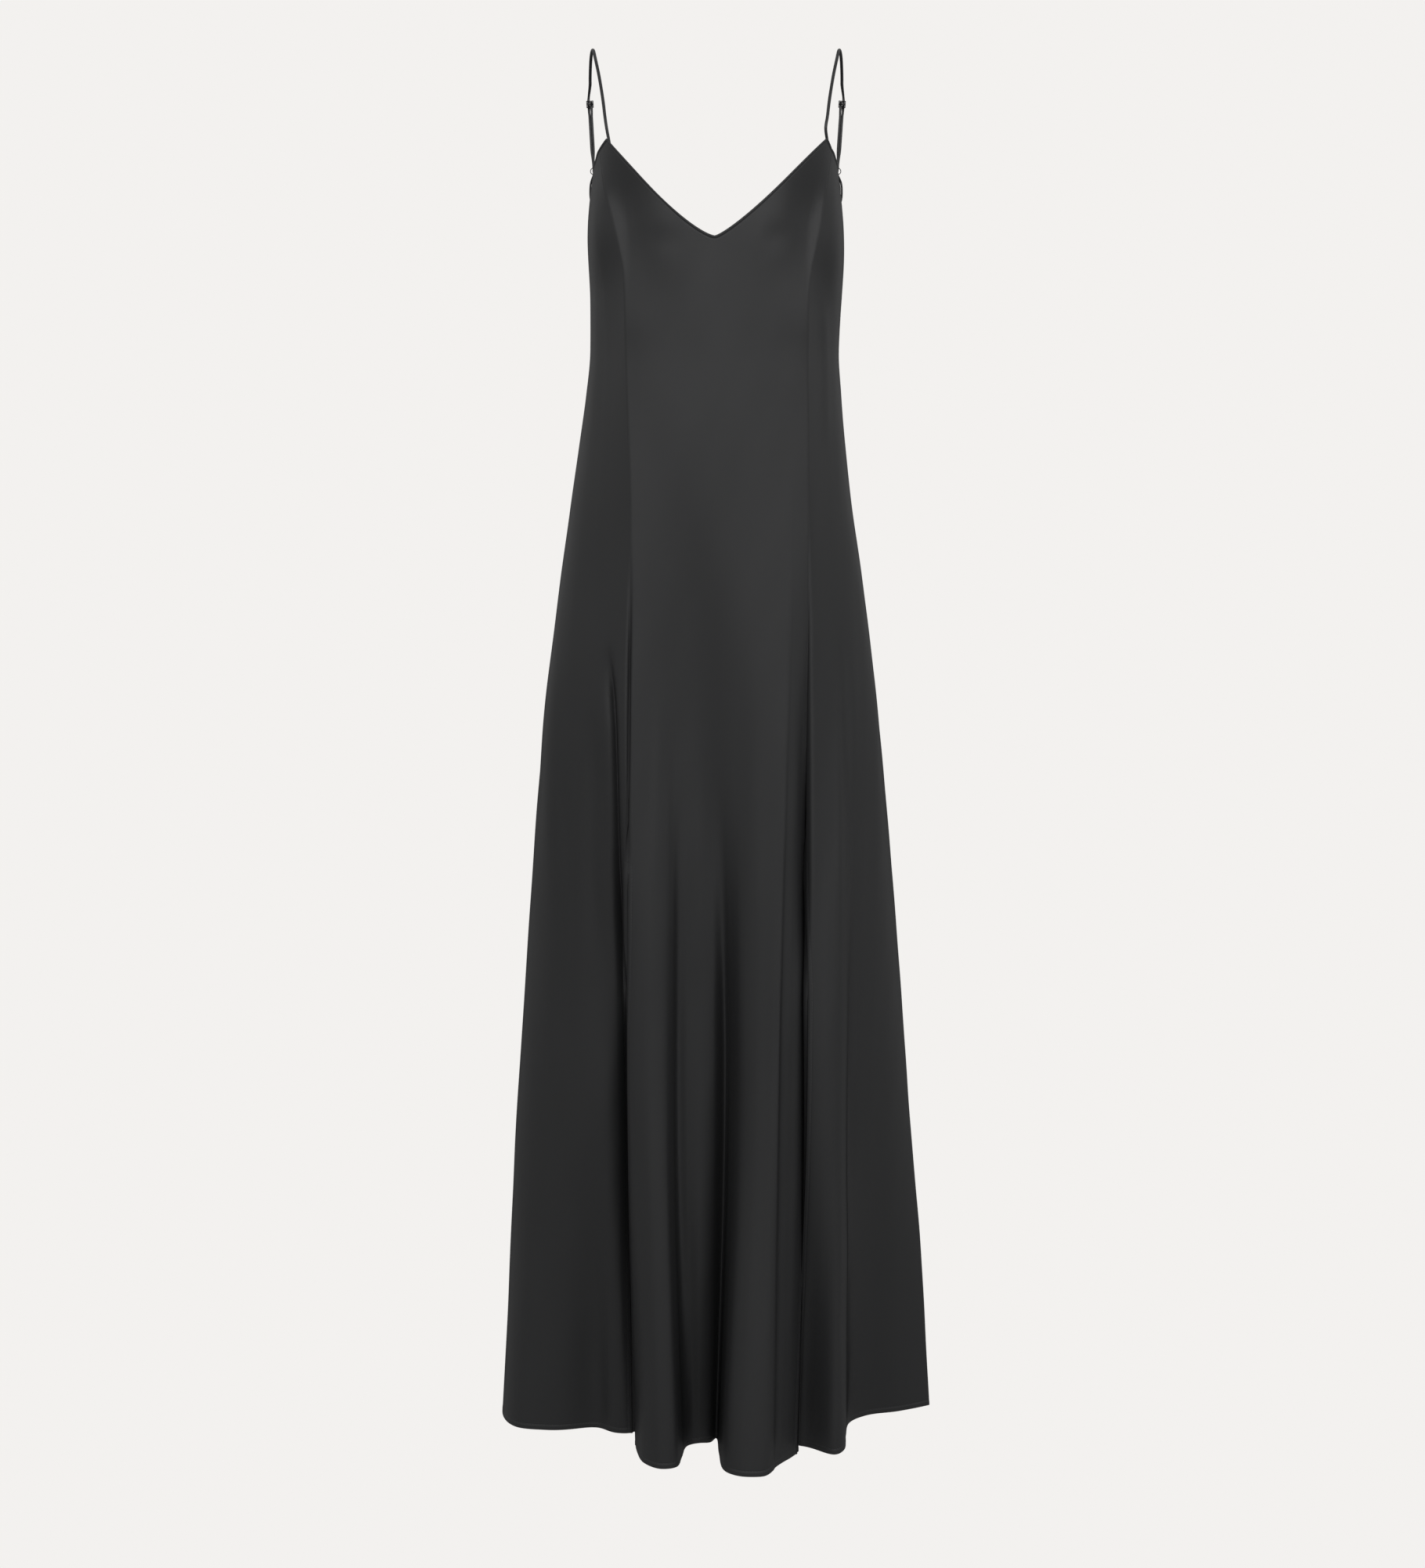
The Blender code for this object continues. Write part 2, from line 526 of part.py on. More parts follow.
def wall_mesh(name, outer, normals, outward_side, material):
    """A closed wall: the outer grid, the same grid moved in, and the rims between them.

    Both grids are parted along the same diagonals, so the wall keeps its thickness on a twist.
    """
    inner = outer - normals * WALL
    rows, columns = outer.shape[:2]
    points = np.concatenate((outer.reshape(-1, 3), inner.reshape(-1, 3)))
    back = rows * columns
    faces = []
    for row in range(rows - 1):
        for col in range(columns - 1):
            a = row * columns + col
            for face in split_quad((a, a + 1, a + columns + 1, a + columns), points):
                faces.append(face)
                faces.append(tuple(back + i for i in reversed(face)))
    rim = list(range(columns))
    rim += [row * columns + columns - 1 for row in range(1, rows)]
    rim += [(rows - 1) * columns + col for col in range(columns - 2, -1, -1)]
    rim += [row * columns for row in range(rows - 2, 0, -1)]
    for here, there in zip(rim, rim[1:] + rim[:1]):
        faces.append((there, here, back + here, back + there))
    if outward_side < 0:
        faces = [tuple(reversed(face)) for face in faces]
    return add_object(name, points, faces, material)


def add_object(name, points, faces, material, smooth=True):
    """Make one named object from points and faces."""
    mesh = bpy.data.meshes.new(name)
    mesh.from_pydata([tuple(map(float, point)) for point in points], [], faces)
    mesh.materials.append(material)
    mesh.validate()
    if smooth:
        mesh.shade_smooth()
        mesh.set_sharp_from_angle(angle=math.radians(SHARP_ANGLE))
    item = bpy.data.objects.new(name, mesh)
    bpy.context.scene.collection.objects.link(item)
    return item


PANELS = (
    # node, panel, which way its grid faces out, and which of its edges are slit edges
    ("front_centre_panel", "centre", 1, (0, -1)),
    ("front_side_panel_left", "left", -1, (0,)),
    ("front_side_panel_right", "right", 1, (0,)),
    ("back_panel", "back", -1, ()),
)
SEAMS = (
    # one panel and its edge, the other panel and its edge, and whether the seam opens as a slit
    ("centre", 0, "left", 0, True),
    ("centre", -1, "right", 0, True),
    ("left", -1, "back", 0, False),
    ("right", -1, "back", -1, False),
)


def share_seam_normals(grids, normals):
    """Give both edges of each seam the same normals, so their walls meet square."""
    for first, first_edge, second, second_edge, opens in SEAMS:
        own_first = normals[first][:, first_edge].copy()
        own_second = normals[second][:, second_edge].copy()
        shared = own_first + own_second
        apart = np.zeros(len(shared))
        if opens:
            apart = below_slit_top(grids[first][:, first_edge, 2])
        for name, edge, own in ((first, first_edge, own_first), (second, second_edge, own_second)):
            mixed = shared * 0.5 * (1.0 - apart[:, None]) + own * apart[:, None]
            normals[name][:, edge] = mixed / np.linalg.norm(mixed, axis=1)[:, None]


def make_panels(material):
    """Build the four cloth panels and return their outer points and normals."""
    steps = {"centre": FRONT_STEPS, "left": FRONT_STEPS, "right": FRONT_STEPS, "back": BACK_STEPS}
    grids = {name: panel_grid(name, steps[name], HEIGHT_STEPS) for _, name, _, _ in PANELS}
    normals = {name: grid_normals(grids[name], side) for _, name, side, _ in PANELS}
    share_seam_normals(grids, normals)
    for node, name, side, slit_edges in PANELS:
        parted = part_at_seams(grids[name], normals[name], slit_edges)
        wall_mesh(node, parted, normals[name], side, material)
    return grids, normals


# ---------------------------------------------------------------- straps, sliders and rings


def tube_mesh(name, path, references, half_widths, half_thicknesses, material, sides):
    """A closed tube of oval section along a path, its flat side facing the references."""
    path = np.asarray(path, dtype=float)
    tangents = np.gradient(path, axis=0)
    tangents /= np.linalg.norm(tangents, axis=1)[:, None]
    facing = references - tangents * np.sum(references * tangents, axis=1)[:, None]
    facing /= np.linalg.norm(facing, axis=1)[:, None]
    sideways = np.cross(facing, tangents)
    angles = 2.0 * math.pi * (np.arange(sides) + 0.5) / sides
    points = []
    for ring, place in enumerate(path):
        side, out = sideways[ring], facing[ring]
        half_w, half_t = half_widths[ring], half_thicknesses[ring]
        for angle in angles:
            points.append(place + side * half_w * math.cos(angle) + out * half_t * math.sin(angle))
    faces = []
    for ring in range(len(path) - 1):
        for k in range(sides):
            a, b = ring * sides + k, ring * sides + (k + 1) % sides
            faces.append((a, b, b + sides, a + sides))
    faces.append(tuple(reversed(range(sides))))
    last = (len(path) - 1) * sides
    faces.append(tuple(range(last, last + sides)))
    return add_object(name, points, faces, material)


class Seat:
    """A place on a panel's top edge where something is sewn to the inside of the cloth."""

    def __init__(self, grid, normals, spot, side):
        low = min(int(spot), grid.shape[1] - 2)
        share = spot - low
        edge = grid[:, low] * (1.0 - share) + grid[:, low + 1] * share
        normal = normals[-1, low] * (1.0 - share) + normals[-1, low + 1] * share
        self.point = edge[-1]
        self.down = (edge[-2] - edge[-1]) / np.linalg.norm(edge[-2] - edge[-1])
        normal = normal - self.down * float(np.dot(normal, self.down))
        self.normal = normal / np.linalg.norm(normal)
        across = np.cross(self.normal, self.down)
        self.across = across if across[0] * side > 0.0 else -across

    def place(self, across, drop, inward):
        """World point: across away from the neck, down the cloth, and in from its outside."""
        return self.point + self.across * across + self.down * drop - self.normal * inward


class BackRun:
    """The doubled run of one strap, from the slider down to the ring, with its own axes.

    A place on it is (across, up, out): across points away from the neck, up runs to the slider,
    which is at up = 0, and out points away from the body.
    """

    def __init__(self, side, seat):
        self.side = side
        self.seat = seat
        half, out, height = SLIDER_PLACE
        self.slider = np.array((STRAP_SHIFT + side * half, -out, height))
        self.ring = seat.place(0.0, -RING_ABOVE_EDGE, WALL + SEAM_GAP + TAB_THICK * 0.5)
        self.length = float(np.linalg.norm(self.slider - self.ring))
        self.up = (self.slider - self.ring) / self.length
        self.out_top = self.square_to_run(np.array((0.0, 1.0, 0.0)))
        self.out_low = self.square_to_run(seat.normal)

    def square_to_run(self, direction):
        """The part of a direction that is square to the run."""
        direction = direction - self.up * float(np.dot(direction, self.up))
        return direction / np.linalg.norm(direction)

    def outward(self, up):
        """The run's out direction at a height along it."""
        part = min(1.0, max(0.0, -up / self.length))
        blend = part * part * (3.0 - 2.0 * part)
        return self.square_to_run(self.out_top * (1.0 - blend) + self.out_low * blend)

    def place(self, across, up, out):
        """World point of a place on the run."""
        facing = self.outward(up)
        sideways = np.cross(self.up, facing) * -self.side
        if np.dot(sideways, (self.side, 0.0, 0.0)) < 0.0:
            sideways = -sideways
        return self.slider + self.up * up + sideways * across + facing * out


def half_turn(across, up, radius, upward):
    """Places round a half turn in the run's own plane."""
    sign = 1.0 if upward else -1.0
    angles = np.linspace(0.0, math.pi, TURN_STEPS + 1)[1:-1]
    return [(across * radius * math.cos(a), up + sign * radius * math.sin(a), 0.0) for a in angles]


def strap_over_shoulder(side):
    """World points of the single strap in front of and over the shoulder."""
    x = STRAP_SHIFT + side * column(STRAP_FRONT, STRAP_COLUMNS, "half_span")
    y = -column(STRAP_FRONT, STRAP_COLUMNS, "out")
    return np.stack((x, y, column(STRAP_FRONT, STRAP_COLUMNS, "height")), axis=1)


def strand_places(run):
    """Places of the doubled run in order: down to the ring, round it, and back up."""
    step = STRAND_OFFSET
    turn_up = -run.length + RING_RADIUS
    straight = np.linspace(RUN_START, turn_up + RUN_END_ABOVE_TURN, RUN_STEPS)
    places = [(step, *row) for row in OUTER_PASS]
    places[0] = (step * ENTRY_SHARE, *OUTER_PASS[0])
    places += [(step, up, 0.0, "free") for up in straight]
    places += [(step, turn_up + TURN_CLEAR, 0.0, "ring")]
    places += [(*place, "ring") for place in half_turn(1.0, turn_up, step, False)]
    places += [(-step, turn_up + TURN_CLEAR, 0.0, "ring")]
    places += [(-step, up, 0.0, "free") for up in reversed(straight)]
    places += [(-step, *row) for row in INNER_PASS]
    return places


def strap_path(run, front_seat):
    """Strap's path with its section: world points, facing directions, half sizes."""
    points, facing, wide, thick = [], [], [], []
    inward = WALL + 2.0 * SEAM_GAP + STRAP_THICK * 0.5
    tail = [front_seat.place(0.0, drop, inward) for drop in STRAP_TAIL_DROPS]
    curve = round_curve(np.concatenate((tail, strap_over_shoulder(run.side))), 2)
    line_y, line_z = SHOULDER_LINE
    for index, point in enumerate(curve):
        over_shoulder = np.array((0.0, point[1] - line_y, point[2] - line_z))
        over_shoulder /= np.linalg.norm(over_shoulder)
        share = min(1.0, 2.0 * index / len(curve))
        points.append(point)
        facing.append(front_seat.normal * (1.0 - share) + over_shoulder * share)
        wide.append(STRAP_WIDE * 0.5)
        thick.append(STRAP_THICK * 0.5)
    for across, up, out, pressed in strand_places(run):
        strand_wide, strand_thick = STRAND_WIDE_AND_THICK[pressed]
        points.append(run.place(across, up, out))
        facing.append(run.outward(up))
        wide.append(strand_wide * 0.5)
        thick.append(strand_thick * 0.5)
    return np.array(points), np.array(facing), wide, thick


def make_strap(name, run, front_seat, material):
    """One strap: front point, over the shoulder, through the slider, round the ring and back."""
    points, facing, wide, thick = strap_path(run, front_seat)
    return tube_mesh(name, points, facing, wide, thick, material, STRAND_SIDES)


def make_tab(name, run, material):
    """The short loop of cloth that ties the ring to the inside of the back's top edge."""
    turn_up = -run.length - RING_RADIUS
    inside = WALL + 2.0 * SEAM_GAP + TAB_THICK * 0.5
    legs = []
    for across in (STRAND_OFFSET, -STRAND_OFFSET):
        leg = [run.seat.place(across, drop, inside) for drop in TAB_DROPS]
        leg.append(run.place(across, turn_up - TAB_CLEAR_OF_TURN, 0.0))
        legs.append(leg)
    turn = [run.place(*place) for place in half_turn(1.0, turn_up, STRAND_OFFSET, True)]
    points = np.array(legs[0] + turn + legs[1][::-1])
    facing = np.array([run.seat.normal] * len(points))
    half = [TAB_THICK * 0.5] * len(points)
    wide = [TAB_WIDE * 0.5] * len(points)
    return tube_mesh(name, points, facing, wide, half, material, TAB_SIDES)


def make_slider(name, run, material):
    """A flat three-bar slider: a plate with two slots."""
    half_w, half_t, bar = SLIDER_HALF_WIDE, SLIDER_HALF_TALL, SLIDER_BAR
    across = (-half_w, -half_w + bar, half_w - bar, half_w)
    up = (-half_t, -half_t + bar, -bar * 0.5, bar * 0.5, half_t - bar, half_t)
    points = []
    for out in (bar * 0.5, -bar * 0.5):
        for v in up:
            for u in across:
                centre = run.place(0.0, 0.0, 0.0)
                side = run.place(1.0, 0.0, 0.0) - centre
                points.append(centre + side * u + run.up * v + run.out_top * out)
    columns, rows = len(across), len(up)
    solid = {(r, c) for r in range(rows - 1) for c in range(columns - 1)} - {(1, 1), (3, 1)}
    faces = []
    back = rows * columns
    for r, c in sorted(solid):
        a = r * columns + c
        quad = (a, a + 1, a + columns + 1, a + columns)
        faces.append(quad)
        faces.append(tuple(back + i for i in reversed(quad)))
        edges = (((r - 1, c), (a, a + 1)), ((r, c + 1), (a + 1, a + columns + 1)),
                 ((r + 1, c), (a + columns + 1, a + columns)), ((r, c - 1), (a + columns, a)))
        for neighbour, (here, there) in edges:
            if neighbour not in solid:
                faces.append((there, here, back + here, back + there))
    item = add_object(name, points, faces, material, smooth=False)
    facing_out(item)
    bevel = item.modifiers.new("eased edges", "BEVEL")
    bevel.width = SLIDER_EASE
    bevel.segments = 1
    bevel.limit_method = "ANGLE"
    return item


def make_ring(name, run, material):
    """A wire ring standing in the plane of up and out, at the foot of the doubled run."""
    centre = run.slider - run.up * run.length
    out = run.out_low
    across = np.cross(run.up, out)
    rings, sides = RING_STEPS, WIRE_SIDES
    points = []
    for i in range(rings):
        turn = 2.0 * math.pi * i / rings
        radial = run.up * math.cos(turn) + out * math.sin(turn)
        for k in range(sides):
            angle = 2.0 * math.pi * (k + 0.5) / sides
            points.append(centre + radial * (RING_RADIUS + RING_WIRE_RADIUS * math.cos(angle))
                          + across * RING_WIRE_RADIUS * math.sin(angle))
    faces = []
    for i in range(rings):
        for k in range(sides):
            a, b = i * sides + k, i * sides + (k + 1) % sides
            c, d = ((i + 1) % rings) * sides + (k + 1) % sides, ((i + 1) % rings) * sides + k
            faces.append((a, b, c, d))
    item = add_object(name, points, faces, material)
    facing_out(item)
    return item


def facing_out(item):
    """Turn every face of a closed object outward."""
    body = bmesh.new()
    body.from_mesh(item.data)
    bmesh.ops.recalc_face_normals(body, faces=body.faces)
    body.to_mesh(item.data)
    body.free()


# ---------------------------------------------------------------- materials and assembly


def make_material(name, colour, roughness, metallic):
    """A plain Principled material."""
    material = bpy.data.materials.new(name)
    material.use_nodes = True
    shader = material.node_tree.nodes["Principled BSDF"]
    shader.inputs["Base Color"].default_value = colour
    shader.inputs["Roughness"].default_value = roughness
    shader.inputs["Metallic"].default_value = metallic
    return material


def clear_scene():
    """Remove whatever the scene starts with."""
    for item in list(bpy.data.objects):
        bpy.data.objects.remove(item, do_unlink=True)


def strap_seats(grids, normals, side):
    """The seats of one strap: behind its strap point, and on the back's top edge."""
    back_part = STRAP_BACK_PART if side < 0 else 1.0 - STRAP_BACK_PART
    parts = panel_columns("back", BACK_STEPS)[2]
    back_spot = float(np.interp(back_part, parts, np.arange(len(parts))))
    columns = grids["centre"].shape[1]
    front_spot = FRONT_STEPS if side < 0 else columns - 1 - FRONT_STEPS
    front_seat = Seat(grids["centre"], normals["centre"], front_spot, side)
    back_seat = Seat(grids["back"], normals["back"], back_spot, side)
    return front_seat, back_seat


def main():
    """Build the dress."""
    clear_scene()
    satin = make_material("satin", SATIN_COLOUR, SATIN_ROUGHNESS, 0.0)
    strap_satin = make_material("strap_satin", SATIN_COLOUR, SATIN_ROUGHNESS, 0.0)
    metal = make_material("dark_metal", METAL_COLOUR, METAL_ROUGHNESS, 1.0)
    grids, normals = make_panels(satin)
    for name, side in (("left", -1), ("right", 1)):
        front_seat, back_seat = strap_seats(grids, normals, side)
        run = BackRun(side, back_seat)
        make_strap("strap_" + name, run, front_seat, strap_satin)
        make_tab("ring_tab_" + name, run, strap_satin)
        make_slider("slider_" + name, run, metal)
        make_ring("ring_" + name, run, metal)


main()
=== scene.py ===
"""The slip dress as it is seen: satin panels with their folds and creases, straps, hardware, studio.

Everything is in metres in the frame of the solids: the origin lies between the strap tops, the
front faces -Y and +Z is up. "left" and "right" are as seen from the front.
"""

import logging
import math
from dataclasses import dataclass, field
from enum import Enum
from typing import Iterable, Sequence

import bpy
import numpy as np
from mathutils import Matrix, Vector


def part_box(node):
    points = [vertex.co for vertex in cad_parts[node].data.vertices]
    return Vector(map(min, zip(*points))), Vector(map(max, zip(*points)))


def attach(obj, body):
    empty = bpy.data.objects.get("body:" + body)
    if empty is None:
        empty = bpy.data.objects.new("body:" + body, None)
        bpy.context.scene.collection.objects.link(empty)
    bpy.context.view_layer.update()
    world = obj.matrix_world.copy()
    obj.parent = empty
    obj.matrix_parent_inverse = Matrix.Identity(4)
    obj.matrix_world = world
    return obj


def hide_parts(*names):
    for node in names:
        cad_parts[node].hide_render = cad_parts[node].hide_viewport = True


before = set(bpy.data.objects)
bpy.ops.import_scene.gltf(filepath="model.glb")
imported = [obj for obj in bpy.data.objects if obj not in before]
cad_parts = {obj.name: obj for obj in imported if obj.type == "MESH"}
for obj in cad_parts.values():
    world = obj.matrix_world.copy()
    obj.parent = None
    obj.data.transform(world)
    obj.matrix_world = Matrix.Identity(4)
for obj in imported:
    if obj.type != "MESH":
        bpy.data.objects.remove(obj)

Array = np.ndarray
Socket = bpy.types.NodeSocket
LOG = logging.getLogger("slip_dress")


class Side(Enum):
    """A side of the dress, and its sign along X."""

    LEFT = -1
    RIGHT = 1

    @property
    def word(self) -> str:
        """The side's name in piece and node names."""
        return self.name.lower()


class Edge(Enum):
    """What an upright edge of a panel is."""

    SEAM = "sewn from top to hem"
    SLIT = "sewn above the slit's top, open below it"


# ---------------------------------------------------------------- tables and curves


@dataclass(frozen=True)
class Table:
    """A short table with named columns."""

    names: str
    rows: tuple[tuple, ...]

    def column(self, name: str) -> Array:
        """One column as numbers, where None gives nan.

        Args:
            name: The column's name.

        Returns:
            One number a row.
        """
        index = self.names.split().index(name)
        return np.array([row[index] for row in self.rows], dtype=float)


def smooth_curve(knots: Array, values: Array, at: Array) -> Array:
    """Smooth curve through a table's rows, which never swings past them.

    Args:
        knots: Where the rows stand.
        values: Their values.
        at: Where the curve is wanted.

    Returns:
        The curve's values there.
    """
    order = np.argsort(knots)
    knots = np.asarray(knots, dtype=float)[order]
    values = np.asarray(values, dtype=float)[order]
    spans = np.diff(knots)
    slopes = np.diff(values) / spans
    before, after = slopes[:-1], slopes[1:]
    same_way = before * after > 0.0
    weight_a = 2.0 * spans[1:] + spans[:-1]
    weight_b = spans[1:] + 2.0 * spans[:-1]
    safe_before = np.where(same_way, before, 1.0)
    safe_after = np.where(same_way, after, 1.0)
    middle = (weight_a + weight_b) / (weight_a / safe_before + weight_b / safe_after)
    tangents = np.concatenate((slopes[:1], np.where(same_way, middle, 0.0), slopes[-1:]))
    at = np.clip(np.asarray(at, dtype=float), knots[0], knots[-1])
    cell = np.clip(np.searchsorted(knots, at) - 1, 0, len(spans) - 1)
    part = (at - knots[cell]) / spans[cell]
    rest = 1.0 - part
    start = (1.0 + 2.0 * part) * rest * rest * values[cell]
    end = part * part * (3.0 - 2.0 * part) * values[cell + 1]
    pull = rest * tangents[cell] - part * tangents[cell + 1]
    return start + end + part * rest * spans[cell] * pull


def round_curve(points: Array, at: Array) -> Array:
    """Rounded curve through points, along the last axis but one.

    Args:
        points: Array of shape (..., points, axes).
        at: Where along it, as a point's index and the share of the way to the next.

    Returns:
        Array of shape (..., places, axes).
    """
    steps = np.diff(points, axis=-2)
    chords = np.maximum(np.sqrt(np.linalg.norm(steps, axis=-1)), 1e-6)[..., None]
    slopes = steps / chords
    before, after = chords[..., :-1, :], chords[..., 1:, :]
    inner = (slopes[..., :-1, :] * after + slopes[..., 1:, :] * before) / (before + after)
    first = 2.0 * slopes[..., :1, :] - inner[..., :1, :]
    last = 2.0 * slopes[..., -1:, :] - inner[..., -1:, :]
    tangents = np.concatenate((first, inner, last), axis=-2)
    cell = np.clip(np.floor(at).astype(int), 0, points.shape[-2] - 2)
    part = (at - cell)[:, None]
    rest = 1.0 - part
    start, end = points[..., cell, :], points[..., cell + 1, :]
    width = chords[..., cell, :]
    curve = (1.0 + 2.0 * part) * rest * rest * start + part * part * (3.0 - 2.0 * part) * end
    pull = rest * tangents[..., cell, :] - part * tangents[..., cell + 1, :]
    return curve + part * rest * width * pull


def ease(value: Array) -> Array:
    """A value held between 0 and 1 and eased at both ends."""
    value = np.clip(value, 0.0, 1.0)
    return value * value * (3.0 - 2.0 * value)


def bump(distance: Array, spread: float) -> Array:
    """A soft hump of height 1 over a distance."""
    return np.exp(-((distance / spread) ** 2))


def unit(vectors: Array) -> Array:
    """Vectors along the last axis brought to length 1."""
    return vectors / np.maximum(np.linalg.norm(vectors, axis=-1)[..., None], 1e-12)


# ---------------------------------------------------------------- the worn form


@dataclass(frozen=True)
class WornForm:
    """The plain form that the cloth hangs on: level sections, princess lines, bust and edges.

    widest is how far behind the shoulders' line a section is widest, and front_power rounds its
    front half: 2 is an ellipse. corner is how far the princess seams stand forward there, and
    hollow how far the side panels lie back. Creases move the cloth away from an upright line at
    core behind the shoulders' line, and squash turns that direction to the front.
    """

    hem: float = -1.475
    middle: float = -1.05
    slit_top: float = -0.743
    slit_ease: float = 0.100
    samples: int = 241
    levels: int = 220
    below_hem: float = 0.006
    back_power: float = 2.7
    corner_power: float = 2.5
    core: float = 0.020
    squash: float = 0.35
    sections: Table = Table(
        "height half_width shift front back widest front_power corner hollow",
        (
            (-0.095, 0.1285, 0.0010, 0.1140, 0.088, 0.024, 3.0, 0.000, 0.000),
            (-0.120, 0.1290, 0.0010, 0.1140, 0.090, 0.024, 3.0, 0.000, 0.001),
            (-0.155, 0.1318, 0.0010, 0.1135, 0.091, 0.024, 2.9, 0.0015, 0.003),
            (-0.200, 0.1336, 0.0008, 0.1130, 0.090, 0.022, 2.8, 0.005, 0.005),
            (-0.250, 0.1330, 0.0008, 0.1135, 0.086, 0.019, 2.6, 0.008, 0.006),
            (-0.310, 0.1320, -0.0002, 0.1135, 0.084, 0.015, 2.5, 0.008, 0.007),
            (-0.355, 0.1354, -0.0008, 0.1140, 0.089, 0.012, 2.5, 0.008, 0.008),
            (-0.410, 0.1416, -0.0020, 0.1150, 0.099, 0.010, 2.5, 0.008, 0.008),
            (-0.480, 0.1508, -0.0036, 0.1165, 0.112, 0.007, 2.5, 0.008, 0.008),
            (-0.560, 0.1624, -0.0037, 0.1185, 0.121, 0.004, 2.5, 0.008, 0.009),
            (-0.680, 0.1776, -0.0037, 0.1215, 0.128, 0.002, 2.5, 0.008, 0.009),
            (-0.770, 0.1858, -0.0032, 0.124, 0.132, 0.000, 2.5, 0.007, 0.009),
            (-0.940, 0.2003, -0.0019, 0.128, 0.140, 0.000, 2.5, 0.005, 0.008),
            (-1.114, 0.2132, -0.0015, 0.131, 0.148, 0.000, 2.5, 0.002, 0.004),
            (-1.290, 0.2259, 0.0011, 0.134, 0.156, 0.000, 2.5, 0.000, 0.000),
            (-1.480, 0.2378, 0.0020, 0.136, 0.164, 0.000, 2.5, 0.000, 0.000),
        ),
    )
    princess: Table = Table(
        "height left right",
        (
            (-0.100, -0.1200, 0.1210),
            (-0.115, -0.1181, 0.1194),
            (-0.137, -0.1155, 0.1170),
            (-0.158, -0.1119, 0.1145),
            (-0.176, -0.1067, 0.1116),
            (-0.210, -0.0997, 0.1057),
            (-0.237, -0.0947, 0.1006),
            (-0.279, -0.0921, 0.0958),
            (-0.334, -0.0904, 0.0952),
            (-0.400, -0.0880, 0.0958),
            (-0.477, -0.0860, 0.0966),
            (-0.600, -0.0880, 0.0974),
            (-0.740, -0.0900, 0.0966),
            (-1.480, -0.0900, 0.0966),
        ),
    )
    bust_out: float = 0.0034
    bust_place: tuple[float, float] = (0.058, -0.195)
    bust_spread: tuple[float, float] = (0.036, 0.038)
    neck_point: float = -0.2030
    neck: Table = Table(
        "side x rise power",
        (
            (-1, -0.1108, 0.1020, 1.38),
            (1, 0.1149, 0.1035, 1.24),
        ),
    )
    princess_top: float = -0.1085
    armhole: Table = Table(
        "part height",
        (
            (0.0, -0.1085), (0.12, -0.1115), (0.25, -0.1165),
            (0.4, -0.1202), (0.7, -0.1214), (1.0, -0.1212),
        ),
    )
    back_top: Table = Table(
        "part height",
        (
            (0.0, -0.1212), (0.055, -0.1270), (0.11, -0.1370), (0.20, -0.1580), (0.34, -0.1860),
            (0.5, -0.1990),
            (0.66, -0.1860), (0.80, -0.1580), (0.89, -0.1370), (0.945, -0.1270), (1.0, -0.1212),
        ),
    )

    @property
    def top(self) -> float:
        """Height of the highest section."""
        return float(self.sections.column("height")[0])

    def size(self, name: str, height: float) -> float:
        """One size of the section at a height."""
        return float(smooth_curve(self.sections.column("height"), self.sections.column(name), height))

    def princess_x(self, side: Side, height: float) -> float:
        """Where a princess line crosses a height."""
        heights = self.princess.column("height")
        return float(smooth_curve(heights, self.princess.column(side.word), height))

    def princess_turn(self, side: Side, height: float) -> float:
        """A princess line's turn round the section.

        Args:
            side: The line's side.
            height: The section's height.

        Returns:
            The turn, where 0 is the right side, a quarter the front and a half the left side.
        """
        half_width, shift = self.size("half_width", height), self.size("shift", height)
        across = np.clip((self.princess_x(side, height) - shift) / half_width, -1.0, 1.0)
        cosine = np.sign(across) * abs(across) ** (self.size("front_power", height) / 2.0)
        return math.acos(cosine) / (2.0 * math.pi)

    def places(self, height: float, turns: tuple[float, float], parts: Array) -> Array:
        """Points on the section at a height.

        Args:
            height: The section's height.
            turns: Where the arc starts and ends round the section.
            parts: Parts of the arc's length.

        Returns:
            The x and y of each.
        """
        widest, half_width = self.size("widest", height), self.size("half_width", height)
        front, back = self.size("front", height) + widest, self.size("back", height) - widest
        angles = 2.0 * math.pi * np.linspace(turns[0], turns[1], self.samples)
        cosine, sine = np.cos(angles), np.sin(angles)
        in_front = sine >= 0.0
        power = np.where(in_front, 2.0 / self.size("front_power", height), 2.0 / self.back_power)
        x = self.size("shift", height) + half_width * np.sign(cosine) * np.abs(cosine) ** power
        depth = np.where(in_front, front, back)
        y = widest - depth * np.sign(sine) * np.abs(sine) ** power
        fullness = self.fullness(x, height) * np.minimum(1.0, 2.0 * np.abs(sine))
        y = y - np.where(sine > 0.0, fullness + self.squareness(x, height), 0.0)
        lengths = np.concatenate(([0.0], np.cumsum(np.hypot(np.diff(x), np.diff(y)))))
        wanted = np.asarray(parts) * lengths[-1]
        return np.stack((np.interp(wanted, lengths, x), np.interp(wanted, lengths, y)), axis=1)

    def fullness(self, x: Array, height: float) -> Array:
        """How far the bust brings the front forward.

        Args:
            x: Places across.
            height: Their height.

        Returns:
            One distance a place.
        """
        across = (np.abs(x) - self.bust_place[0]) / self.bust_spread[0]
        along = (height - self.bust_place[1]) / self.bust_spread[1]
        return self.bust_out * np.exp(-across * across - along * along)

